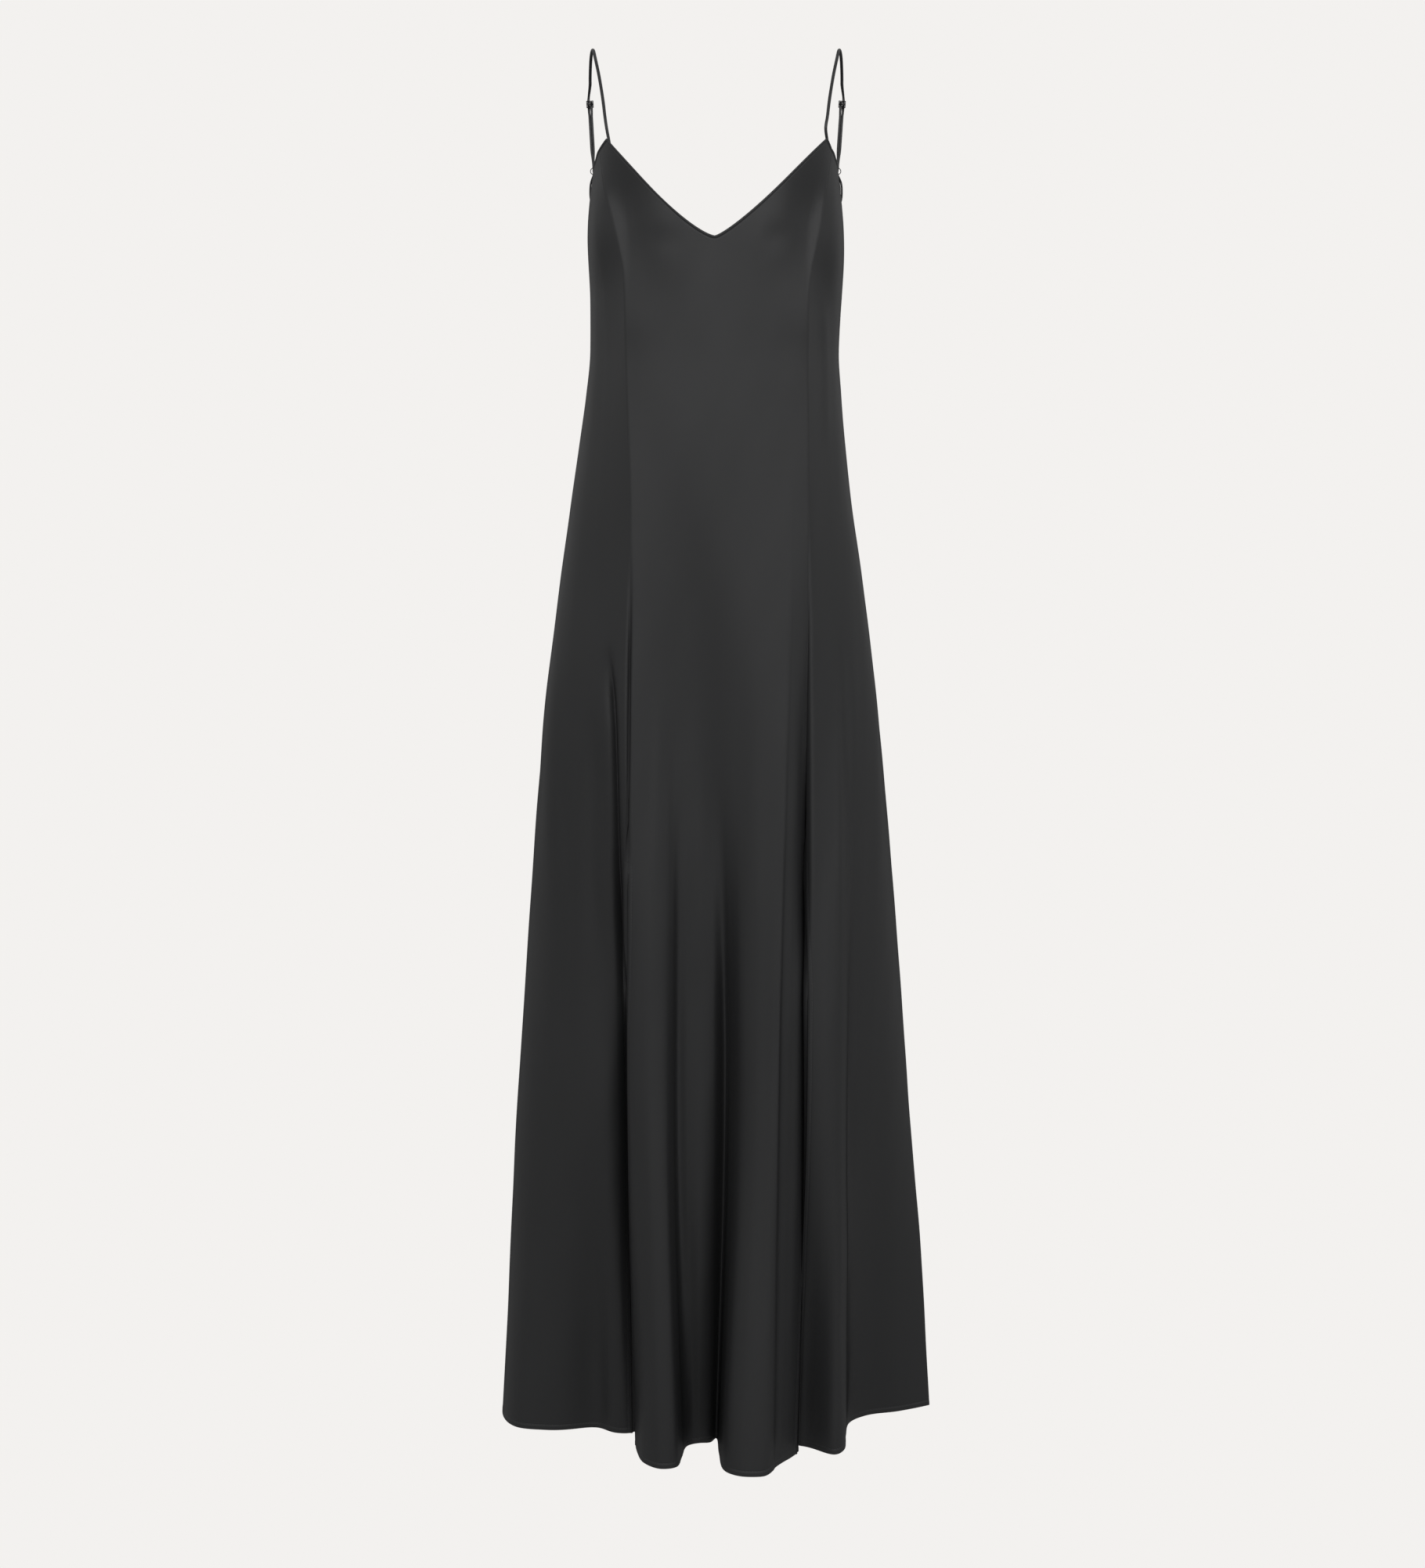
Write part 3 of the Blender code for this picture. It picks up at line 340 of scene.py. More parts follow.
    def squareness(self, x: Array, height: float) -> Array:
        """How far the princess seams stand forward, and the flat side panels lie back.

        Args:
            x: Places across.
            height: Their height.

        Returns:
            One distance a place, forward over zero.
        """
        shift = self.size("shift", height)
        left, right = (self.princess_x(side, height) for side in Side)
        reach = np.where(x < shift, shift - left, right - shift)
        across = np.abs(x - shift)
        inside = np.clip(across / reach, 0.0, 1.0) ** self.corner_power
        beyond = np.clip((across - reach) / (self.size("half_width", height) - reach), 0.0, 1.0)
        stands = self.size("corner", height) * np.where(across <= reach, inside, (1.0 - beyond) ** 2)
        return stands - self.size("hollow", height) * np.sin(math.pi * beyond)

    def neck_side(self, side: Side) -> tuple[float, float, float]:
        """The x of a strap point, its rise over the V's lowest point, and the edge's power."""
        row = 0 if side is Side.LEFT else 1
        return tuple(float(self.neck.column(name)[row]) for name in ("x", "rise", "power"))

    def centre_top(self, x: float) -> float:
        """Height of the centre panel's top edge: the V, and the armhole beyond its points.

        Args:
            x: A place across.

        Returns:
            The edge's height there.
        """
        side = Side.LEFT if x < 0.0 else Side.RIGHT
        point_x, rise, power = self.neck_side(side)
        if abs(x) <= abs(point_x):
            return self.neck_point + rise * (abs(x) / abs(point_x)) ** power
        seam_x = abs(self.princess_x(side, self.princess_top))
        part = min(1.0, (abs(x) - abs(point_x)) / (seam_x - abs(point_x)))
        point_z = self.neck_point + rise
        return point_z + (self.princess_top - point_z) * part

    def open_part(self, heights: Array) -> Array:
        """0 at the slits' tops and above, rising to 1 a short way below them."""
        return ease((self.slit_top - heights) / self.slit_ease)


# ---------------------------------------------------------------- creases


@dataclass(frozen=True)
class Crease:
    """A soft trough in the cloth, or a ridge where its depth is below zero.

    The path gives x and height from its first end to its last. fade_in and fade_out are the
    shares of its length over which it comes and goes, and power shapes it: 2 is round, and
    nearer 1 is sharper. A skew over zero makes it wider to the right of a path that runs down,
    and narrower to its left.
    """

    path: tuple[tuple[float, float], ...]
    depth: float
    half_width: float
    fade_in: float = 0.3
    fade_out: float = 0.3
    power: float = 2.0
    skew: float = 0.0

    def offset(self, x: Array, z: Array) -> Array:
        """How far the crease moves the cloth out.

        Args:
            x: The cloth's points across.
            z: Their heights.

        Returns:
            A distance along the cloth's normal for each point.
        """
        points = np.array(self.path)
        steps = np.diff(points, axis=0)
        lengths = np.linalg.norm(steps, axis=1)
        starts = np.concatenate(([0.0], np.cumsum(lengths)))
        nearest = np.full(x.shape, np.inf)
        along, side = np.zeros(x.shape), np.zeros(x.shape)
        for index, (step, length) in enumerate(zip(steps, lengths)):
            right, up = x - points[index, 0], z - points[index, 1]
            share = np.clip((right * step[0] + up * step[1]) / length**2, 0.0, 1.0)
            away = np.hypot(right - share * step[0], up - share * step[1])
            closer = away < nearest
            nearest = np.where(closer, away, nearest)
            along = np.where(closer, (starts[index] + share * length) / starts[-1], along)
            side = np.where(closer, np.sign(up * step[0] - right * step[1]), side)
        strength = ease(along / max(self.fade_in, 1e-3)) * ease((1.0 - along) / max(self.fade_out, 1e-3))
        spread = self.half_width * (1.0 + self.skew * side)
        return -self.depth * strength * np.exp(-((nearest / spread) ** self.power))


@dataclass(frozen=True)
class Unevenness:
    """The slight waviness of hanging cloth, the same on both sides of a seam."""

    amounts: tuple[tuple[float, float, float, float], ...] = (
        # metres out, waves a metre along X, Y and Z
        (0.00034, 5.1, 3.7, 2.3),
        (0.00022, -8.3, 6.9, 3.1),
        (0.00013, 14.9, -12.7, 5.3),
        (0.00008, 23.0, 17.0, -9.7),
    )
    phase_step: float = 1.7

    def offset(self, grid: Array) -> Array:
        """How far each point of a grid lies out.

        Args:
            grid: The points.

        Returns:
            One distance a point.
        """
        total = np.zeros(grid.shape[:2])
        for order, (amount, *waves) in enumerate(self.amounts):
            phase = grid @ np.array(waves) * 2.0 * math.pi + self.phase_step * order
            total += amount * np.sin(phase)
        return total


# ---------------------------------------------------------------- cloth panels


@dataclass(frozen=True)
class EdgeFinish:
    """How the cloth's edges are turned, rolled and stitched.

    Seams dip, and have an allowance turned in. Slits and the hem are doubled, with a groove where
    the stitches sink in, and the top edge is rolled. near_edge and near_parts place the rows and
    columns that stand close together at the edges.
    """

    seam_dip: float = 0.0003
    seam_spread: float = 0.0010
    seam_gap: float = 0.0001
    slit_parting: float = 0.0030
    allowance: tuple[float, float, float] = (0.0009, 0.0025, 0.0070)
    turn_in: tuple[float, float, float] = (0.0006, 0.0012, 0.0012)
    turn_back: tuple[float, float, float] = (0.0, 0.0015, 0.0060)
    roll_width: float = 0.0026
    roll_out: float = 0.0006
    roll_groove: float = 0.0004
    roll_groove_place: float = 0.0030
    roll_groove_spread: float = 0.0005
    double_out: float = 0.0002
    slit_hem: float = 0.0050
    skirt_hem: float = 0.0062
    groove: float = 0.0002
    groove_spread: float = 0.0006
    stitch_inset: float = 0.0010
    near_edge: tuple[float, ...] = (
        0.0, 0.0003, 0.0008, 0.0013, 0.0019, 0.0025, 0.0030, 0.0036, 0.0046, 0.0052, 0.0060, 0.0068,
    )
    near_parts: tuple[float, ...] = (
        0.0, 0.022, 0.05, 0.09, 0.14, 0.2, 0.28, 0.37, 0.47, 0.6, 0.74, 0.87,
    )


@dataclass
class ClothGrid:
    """A panel's outer points, with the rows from hem to top and the columns from edge to edge."""

    points: Array
    normals: Array
    from_start: Array
    from_end: Array
    from_hem: Array


FINE_PLACES = 401
EDGE_ROUNDS = 30            # the V's height and its columns' x depend on each other
POINT_LINES = ((1, Side.LEFT), (-3, Side.RIGHT))     # the centre panel's lines to the strap points


@dataclass(frozen=True)
class Panel:
    """One cloth panel: its cut, folds, edges and creases.

    Each row of folds is an upright line: its part of the way across, the height where it starts
    to leave the plain form, and where it lies at mid height and at the hem. steps are the columns
    from line to line, and facing is 1 where the columns run from left to right.
    """

    node: str
    piece: str
    folds: Table
    edges: tuple[Edge, Edge]
    facing: int
    cut: tuple[float, float]
    cut_area: float
    steps: int
    rows: int
    creases: tuple[Crease, ...] = ()

    def turns(self, form: WornForm, height: float) -> tuple[float, float]:
        """Where the panel starts and ends round the section.

        Args:
            form: The worn form.
            height: The section's height.

        Returns:
            Two turns round the section.
        """
        if self.node == "back_panel":
            return 0.5, 1.0
        if self.node == "front_side_panel_left":
            return form.princess_turn(Side.LEFT, height), 0.5
        if self.node == "front_side_panel_right":
            return form.princess_turn(Side.RIGHT, height), 0.0
        return form.princess_turn(Side.LEFT, height), form.princess_turn(Side.RIGHT, height)

    def parts(self, form: WornForm) -> Array:
        """Each fold line's part of the way across the plain panel.

        Args:
            form: The worn form.

        Returns:
            The parts, moved on the centre panel so that two lines run to the strap points.
        """
        parts = self.folds.column("part")
        if self.node != "front_centre_panel":
            return parts
        fine = np.linspace(0.0, 1.0, FINE_PLACES)
        for index, side in POINT_LINES:
            point_x, rise, _ = form.neck_side(side)
            height = form.neck_point + rise
            x = form.places(height, self.turns(form, height), fine)[:, 0]
            parts[index] = np.interp(point_x, x, fine)
        return parts

    def folded(self, form: WornForm, parts: Array, height: float, level: str) -> Array:
        """Where the fold lines lie at mid height or at the hem.

        Args:
            form: The worn form.
            parts: The lines' parts of the way across.
            height: The level's height.
            level: The first word of the level's columns.

        Returns:
            The x and y of each line.
        """
        plain = form.places(height, self.turns(form, height), parts)
        out = self.folds.column(f"{level}_out")
        if self.node != "back_panel":
            given = np.stack((self.folds.column(f"{level}_x"), -out), axis=1)
            return np.where(np.isnan(given), plain, given)
        fine = np.linspace(0.0, 1.0, FINE_PLACES)
        along = np.gradient(form.places(height, self.turns(form, height), fine), axis=0)
        normals = unit(np.stack((-along[:, 1], along[:, 0]), axis=1))
        normal = np.stack([np.interp(parts, fine, normals[:, i]) for i in range(2)], axis=1)
        return plain + normal * out[:, None]

    def column_places(self, finish: EdgeFinish) -> Array:
        """Where the mesh's columns stand: closer together at both edges.

        Args:
            finish: How edges are made.

        Returns:
            Places counted in fold lines.
        """
        last = len(self.folds.rows) - 1
        near = np.array(finish.near_parts)
        middle = np.arange(self.steps, (last - 1) * self.steps + 1) / self.steps
        return np.concatenate((near, middle, last - near[::-1]))

    def face(self, form: WornForm, finish: EdgeFinish, waviness: Unevenness) -> ClothGrid:
        """The panel's outer face, with its creases and its seam dips.

        Args:
            form: The worn form.
            finish: How edges are made.
            waviness: The slight waviness of the cloth.

        Returns:
            The face's grid, without the turned edges.
        """
        heights = np.linspace(form.hem - form.below_hem, form.top, form.levels)
        parts = self.parts(form)
        lines = np.array([form.places(h, self.turns(form, h), parts) for h in heights])
        mid_move = self.folded(form, parts, form.middle, "mid")
        mid_move -= form.places(form.middle, self.turns(form, form.middle), parts)
        hem_move = self.folded(form, parts, form.hem, "hem")
        hem_move -= form.places(form.hem, self.turns(form, form.hem), parts)
        for line, start in enumerate(self.folds.column("start")):
            knots = (0.0, start, form.middle, form.hem)
            for axis in range(2):
                moves = (0.0, 0.0, mid_move[line, axis], hem_move[line, axis])
                lines[:, line, axis] += smooth_curve(knots, moves, heights)
        at = self.column_places(finish)
        curves = round_curve(lines, at)
        hem_z = round_curve(np.stack((parts, self.folds.column("hem_z")), axis=1), at)[:, 1]
        across = np.interp(at, np.arange(len(parts)), parts)
        top_z = self.top_edge(form, heights, curves, across)
        grid = self.hang(heights, curves, hem_z, top_z, finish)
        offset = waviness.offset(grid)
        for crease in self.creases:
            offset += crease.offset(grid[:, :, 0], grid[:, :, 2])
        outward = unit((grid - np.array((0.0, form.core, 0.0))) * np.array((form.squash, 1.0, 0.0)))
        grid = grid + outward * offset[:, :, None]
        return self.finish_edges(grid, form, finish)

    def top_edge(self, form: WornForm, heights: Array, curves: Array, across: Array) -> Array:
        """Height of the top edge at each column.

        Args:
            form: The worn form.
            heights: Heights of the curves.
            curves: The x and y of each column at each height.
            across: Each column's part of the way across.

        Returns:
            One height a column.
        """
        if self.node == "back_panel":
            rows = form.back_top
        elif self.node == "front_centre_panel":
            top = np.full(curves.shape[1], form.princess_top)
            for _ in range(EDGE_ROUNDS):
                x = [np.interp(z, heights, curves[:, i, 0]) for i, z in enumerate(top)]
                top = 0.5 * top + 0.5 * np.array([form.centre_top(place) for place in x])
            return top
        else:
            rows = form.armhole
        return smooth_curve(rows.column("part"), rows.column("height"), across)

    def hang(
        self, heights: Array, curves: Array, hem_z: Array, top_z: Array, finish: EdgeFinish
    ) -> Array:
        """Points of the face: a row near each edge for each of its steps, the others even.

        Args:
            heights: Heights of the curves.
            curves: The x and y of each column at each height.
            hem_z: Height of the hem at each column.
            top_z: Height of the top edge at each column.
            finish: How edges are made.

        Returns:
            The grid of points.
        """
        near = np.array(finish.near_edge)
        slope = np.gradient(top_z) / np.maximum(np.hypot(*self.edge_steps(heights, curves, top_z)), 1e-6)
        steepness = np.sqrt(1.0 + slope * slope)
        grid = np.empty((2 * len(near) + self.rows, curves.shape[1], 3))
        ladder = np.linspace(0.0, 1.0, self.rows + 2)[1:-1]
        for index in range(curves.shape[1]):
            low = hem_z[index] + near
            high = top_z[index] - near[::-1] * steepness[index]
            z = np.concatenate((low, low[-1] + (high[0] - low[-1]) * ladder, high))
            grid[:, index, 2] = z
            for axis in range(2):
                grid[:, index, axis] = smooth_curve(heights, curves[:, index, axis], z)
        return grid

    def edge_steps(self, heights: Array, curves: Array, top_z: Array) -> tuple[Array, Array]:
        """Steps from column to column along the top edge.

        Args:
            heights: Heights of the curves.
            curves: The x and y of each column at each height.
            top_z: Height of the top edge at each column.

        Returns:
            The steps in x and in y.
        """
        place = [
            np.array([np.interp(z, heights, curves[:, i, axis]) for i, z in enumerate(top_z)])
            for axis in range(2)
        ]
        return np.gradient(place[0]), np.gradient(place[1])

    def normals(self, grid: Array) -> Array:
        """Unit normals that point away from the hollow."""
        across, up = np.gradient(grid, axis=1), np.gradient(grid, axis=0)
        return unit(np.cross(across, up) * self.facing)

    def finish_edges(self, grid: Array, form: WornForm, finish: EdgeFinish) -> ClothGrid:
        """Dip the seams, roll the top edge and thicken the hems.

        Args:
            grid: The face's points.
            form: The worn form.
            finish: How edges are made.

        Returns:
            The finished face.
        """
        widths = np.linalg.norm(np.diff(grid, axis=1), axis=2)
        from_start = np.concatenate((np.zeros((len(grid), 1)), np.cumsum(widths, axis=1)), axis=1)
        from_end = from_start[:, -1:] - from_start
        rises = np.linalg.norm(np.diff(grid, axis=0), axis=2)
        from_hem = np.concatenate((np.zeros((1, grid.shape[1])), np.cumsum(rises, axis=0)))
        edge = np.gradient(grid[-1], axis=0)
        lean = np.hypot(edge[:, 0], edge[:, 1]) / np.linalg.norm(edge, axis=1)
        from_top = (from_hem[-1:] - from_hem) * lean[None, :]
        opened = form.open_part(grid[:, :, 2])
        offset = np.zeros(grid.shape[:2])
        for distance, kind in zip((from_start, from_end), self.edges):
            slit = opened if kind is Edge.SLIT else np.zeros_like(opened)
            offset -= finish.seam_dip * bump(distance, finish.seam_spread) * (1.0 - slit)
            offset += slit * self.doubled(distance, finish.slit_hem, finish)
        offset += self.doubled(from_hem, finish.skirt_hem, finish)
        rolled = 1.0 - ((from_top - finish.roll_width * 0.5) / (finish.roll_width * 0.5)) ** 2
        offset += finish.roll_out * np.sqrt(np.clip(rolled, 0.0, 1.0))
        offset -= finish.roll_groove * bump(from_top - finish.roll_groove_place, finish.roll_groove_spread)
        normals = self.normals(grid)
        grid = grid + normals * offset[:, :, None]
        for side, inner, kind in ((0, 1, self.edges[0]), (-1, -2, self.edges[1])):
            away = grid[:, inner] - grid[:, side]
            away -= normals[:, side] * np.sum(away * normals[:, side], axis=1)[:, None]
            gap = np.full(len(grid), finish.seam_gap)
            if kind is Edge.SLIT:
                gap += finish.slit_parting * form.open_part(grid[:, side, 2])
            grid[:, side] += unit(away) * gap[:, None] * 0.5
        return ClothGrid(grid, normals, from_start, from_end, from_hem)

    @staticmethod
    def doubled(distance: Array, width: float, finish: EdgeFinish) -> Array:
        """The rise of a turned hem over its width, and the groove of its stitches.

        Args:
            distance: Distances from the edge.
            width: The hem's width.
            finish: How edges are made.

        Returns:
            One rise a point.
        """
        swell = finish.double_out * ease((width - distance) / finish.stitch_inset)
        sunk = bump(distance - width + finish.stitch_inset, finish.groove_spread)
        return swell - finish.groove * sunk


@dataclass
class ClothMaker:
    """Turns the panels' faces into thin shells with turned edges."""

    form: WornForm
    finish: EdgeFinish
    waviness: Unevenness
    thickness: float = 0.0005
    faces: dict[str, ClothGrid] = field(default_factory=dict)

    def make(
        self, panel: Panel, outside: bpy.types.Material, inside: bpy.types.Material
    ) -> bpy.types.Object:
        """Args:
            panel: The panel's plan.
            outside: The satin face.
            inside: The dull back of the satin.

        Returns:
            The finished piece.
        """
        face = panel.face(self.form, self.finish, self.waviness)
        self.faces[panel.node] = face
        fields = (face.points, face.from_start, face.from_end, face.from_hem)
        rows = [np.concatenate((f[:1], f[:1], f[:1], f, f[-1:], f[-1:])) for f in fields]
        normals = np.concatenate((face.normals[:1],) * 3 + (face.normals,) + (face.normals[-1:],) * 2)
        self.turn_rows(rows[0], normals)
        grids = [np.concatenate((g[:, :1],) * 3 + (g,) + (g[:, -1:],) * 3, axis=1) for g in rows]
        normals = np.concatenate((normals[:, :1],) * 3 + (normals,) + (normals[:, -1:],) * 3, axis=1)
        self.turn_columns(panel, grids[0], normals)
        piece = self.shell(panel, grids, outside, inside)
        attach(piece, "root")
        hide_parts(panel.node)
        return piece

    def turn_rows(self, points: Array, normals: Array) -> None:
        """Turn the hem and the top edge in, over the rows beyond the face.

        Args:
            points: The face's points with three more rows below and two above.
            normals: A normal for each of them.
        """
        hem_up = unit(points[4] - points[3])
        top_down = unit(points[-4] - points[-3])
        for step in range(3):
            into, back = self.finish.turn_in[step], self.finish.turn_back[step]
            points[2 - step] += hem_up * back - normals[2 - step] * into
        for step in range(2):
            into, back = self.finish.turn_in[step], self.finish.turn_back[step]
            points[step - 2] += top_down * back - normals[step - 2] * into

    def turn_columns(self, panel: Panel, points: Array, normals: Array) -> None:
        """Turn each seam's allowance in, and each slit's edge back behind the cloth.

        Args:
            panel: The panel's plan.
            points: The points with three more columns at each side.
            normals: A normal for each of them.
        """
        last = points.shape[1] - 1
        for kind, face_column, inner, columns in (
            (panel.edges[0], 3, 4, (2, 1, 0)),
            (panel.edges[1], last - 3, last - 4, (last - 2, last - 1, last)),
        ):
            away = unit(points[:, inner] - points[:, face_column])
            opened = self.form.open_part(points[:, face_column, 2])[:, None]
            if kind is Edge.SEAM:
                opened = np.zeros_like(opened)
            for step, column in enumerate(columns):
                normal = normals[:, face_column]
                seam = -normal * self.finish.allowance[step]
                slit = away * self.finish.turn_back[step] - normal * self.finish.turn_in[step]
                points[:, column] += seam * (1.0 - opened) + slit * opened

    def shell(
        self,
        panel: Panel,
        grids: Sequence[Array],
        outside: bpy.types.Material,
        inside: bpy.types.Material,
    ) -> bpy.types.Object:
        """A mesh from a grid, with its cloth coordinates, edge distances and thickness.

        Args:
            panel: The panel's plan.
            grids: Points, and distances from the start, end and hem.
            outside: The satin face.
            inside: The dull back of the satin.

        Returns:
            The piece.
        """
        points, from_start, from_end, from_hem = grids
        rows, columns = from_start.shape
        first = (np.arange(rows - 1)[:, None] * columns + np.arange(columns - 1)[None, :]).ravel()
        quads = np.stack((first, first + 1, first + columns + 1, first + columns), axis=1)
        if panel.facing < 0:
            quads = quads[:, ::-1]
        piece = mesh_object(panel.piece, points.reshape(-1, 3), quads)
        far = np.ones((rows, columns))
        opened = self.form.open_part(points[:, :, 2])
        slit = far
        for distance, kind in zip((from_start, from_end), panel.edges):
            if kind is Edge.SLIT:
                slit = np.minimum(slit, distance + (1.0 - opened))
        across = from_start - 0.5 * (from_start + from_end)
        add_coordinates(piece, np.stack((across.ravel(), from_hem.ravel()), axis=1))
        for name, values in (("slit_run", slit), ("hem_run", from_hem)):
            layer = piece.data.attributes.new(name, "FLOAT", "POINT")
            layer.data.foreach_set("value", values.ravel().astype(np.float32))
        piece.data.materials.append(outside)
        piece.data.materials.append(inside)
        wall = piece.modifiers.new("thickness", "SOLIDIFY")
        wall.thickness = self.thickness
        wall.offset = -1.0
        wall.material_offset = 1
        return piece


def mesh_object(name: str, points: Array, faces: Array | Sequence) -> bpy.types.Object:
    """Make a smooth-shaded mesh object at the origin.

    Args:
        name: The piece's name.
        points: Its points.
        faces: Its faces, as indices.

    Returns:
        The object.
    """
    mesh = bpy.data.meshes.new(name)
    mesh.from_pydata(points.tolist(), [], [tuple(int(i) for i in f) for f in faces])
    mesh.update()
    mesh.shade_smooth()
    item = bpy.data.objects.new(name, mesh)
    bpy.context.scene.collection.objects.link(item)
    return item


def add_coordinates(piece: bpy.types.Object, places: Array) -> None:
    """Give a piece a UV map in metres along its cloth.

    Args:
        piece: The piece.
        places: One place a point.
    """
    layer = piece.data.uv_layers.new(name="cloth")
    corners = np.empty(len(piece.data.loops), dtype=np.int32)
    piece.data.loops.foreach_get("vertex_index", corners)
    layer.data.foreach_set("uv", places[corners].ravel().astype(np.float32))


# ---------------------------------------------------------------- the dress's own panels


FRONT_NAMES = "line part start mid_x mid_out hem_x hem_out hem_z"

# Creases that cross a seam: the panels on both sides of it take them.
SIDE_SWELLS = (
    # the cloth swells below the armholes
    Crease(((-0.1240, -0.125), (-0.1200, -0.185), (-0.1190, -0.260)), -0.0060, 0.013, 0.5, 0.5),
    Crease(((0.1250, -0.125), (0.1220, -0.195), (0.1200, -0.275)), -0.0060, 0.013, 0.55, 0.45),
)
FRONT_CREASES = SIDE_SWELLS + (
    # the hollows below the strap points
    Crease(
        ((-0.0990, -0.104), (-0.0950, -0.150), (-0.0890, -0.200), (-0.0860, -0.300)),
        0.0105, 0.021, 0.42, 0.55, skew=0.25,
    ),
    Crease(
        ((0.1050, -0.104), (0.1020, -0.150), (0.0970, -0.200), (0.0930, -0.300)),
        0.0128, 0.022, 0.42, 0.55, skew=-0.25,
    ),
    # the dimples below the bust
    Crease(((0.0450, -0.196), (0.0800, -0.210)), 0.0014, 0.015, 0.5, 0.5),
    Crease(((-0.0780, -0.205), (-0.0200, -0.209)), 0.0010, 0.014, 0.5, 0.5),
    # the broad soft valley down the middle of the skirt
    Crease(
        ((-0.034, -0.36), (-0.027, -0.56), (-0.020, -0.74), (-0.014, -1.00), (-0.010, -1.34)),
        0.0200, 0.042, 0.45, 0.38,
    ),
    # the left seam sinks above its slit, and the cloth dives to the right seam
    Crease(
        ((-0.0860, -0.500), (-0.0885, -0.640), (-0.0900, -0.760), (-0.0905, -0.860)),
        0.0044, 0.0020, 0.4, 0.1,
    ),
    Crease(
        ((0.0965, -0.430), (0.0970, -0.600), (0.0966, -0.720), (0.0966, -0.860), (0.0960, -0.990)),
        0.0118, 0.0070, 0.64, 0.26, power=1.35, skew=-0.70,
    ),
)

CENTRE_PANEL = Panel(
    node="front_centre_panel",
    piece="centre_front_cloth",
    edges=(Edge.SLIT, Edge.SLIT),
    facing=1,
    cut=(0.37, 1.375),
    cut_area=0.322,
    steps=8,
    rows=250,
    creases=FRONT_CREASES,
    folds=Table(
        FRONT_NAMES,
        (
            ("left edge", 0.000, -0.743, -0.0914, 0.1170, -0.0850, 0.0880, -1.474),
            ("left turn", 0.060, -0.743, -0.0880, 0.1260, -0.0825, 0.1090, -1.475),
            ("first crest, left", 0.120, -0.700, -0.0785, 0.1320, -0.0745, 0.1380, -1.475),
            ("first crest", 0.170, -0.600, -0.0665, 0.1365, -0.0575, 0.1545, -1.475),
            ("first crest, right", 0.215, -0.650, -0.0525, 0.1355, -0.0405, 0.1500, -1.475),
            ("first wall", 0.245, -0.770, -0.0455, 0.1285, -0.0350, 0.1260, -1.474),
            ("trough, left", 0.275, -0.750, -0.0405, 0.1165, -0.0305, 0.0980, -1.473),
            ("plateau, left", 0.330, -0.780, -0.0295, 0.1200, -0.0240, 0.0900, -1.473),
            ("plateau", 0.395, -0.720, -0.0150, 0.1215, -0.0150, 0.0890, -1.472),
            ("plateau, right", 0.460, -0.740, -0.0010, 0.1160, -0.0050, 0.0850, -1.473),
            ("valley", 0.515, -0.740, 0.0118, 0.1010, 0.0015, 0.0730, -1.473),
            ("second wall", 0.560, -0.740, 0.0172, 0.1140, 0.0045, 0.1130, -1.474),
            ("second crest, left", 0.625, -0.650, 0.0268, 0.1305, 0.0100, 0.1590, -1.475),
            ("second crest", 0.705, -0.500, 0.0410, 0.1372, 0.0240, 0.1730, -1.475),
            ("second crest, middle", 0.785, -0.500, 0.0535, 0.1390, 0.0395, 0.1760, -1.475),
            ("second crest, right", 0.850, -0.450, 0.0610, 0.1398, 0.0525, 0.1730, -1.475),
            ("right fold", 0.898, -0.420, 0.0658, 0.1390, 0.0602, 0.1630, -1.474),
            ("fold's foot", 0.922, -0.430, 0.0690, 0.1335, 0.0637, 0.1520, -1.474),
            ("shelf", 0.950, -0.480, 0.0785, 0.1270, 0.0710, 0.1420, -1.473),
            ("right shelf", 0.975, -0.600, 0.0888, 0.1195, 0.0795, 0.1300, -1.473),
            ("right edge", 1.000, -0.715, 0.0958, 0.1035, 0.0872, 0.1190, -1.472),
        ),
    ),
)
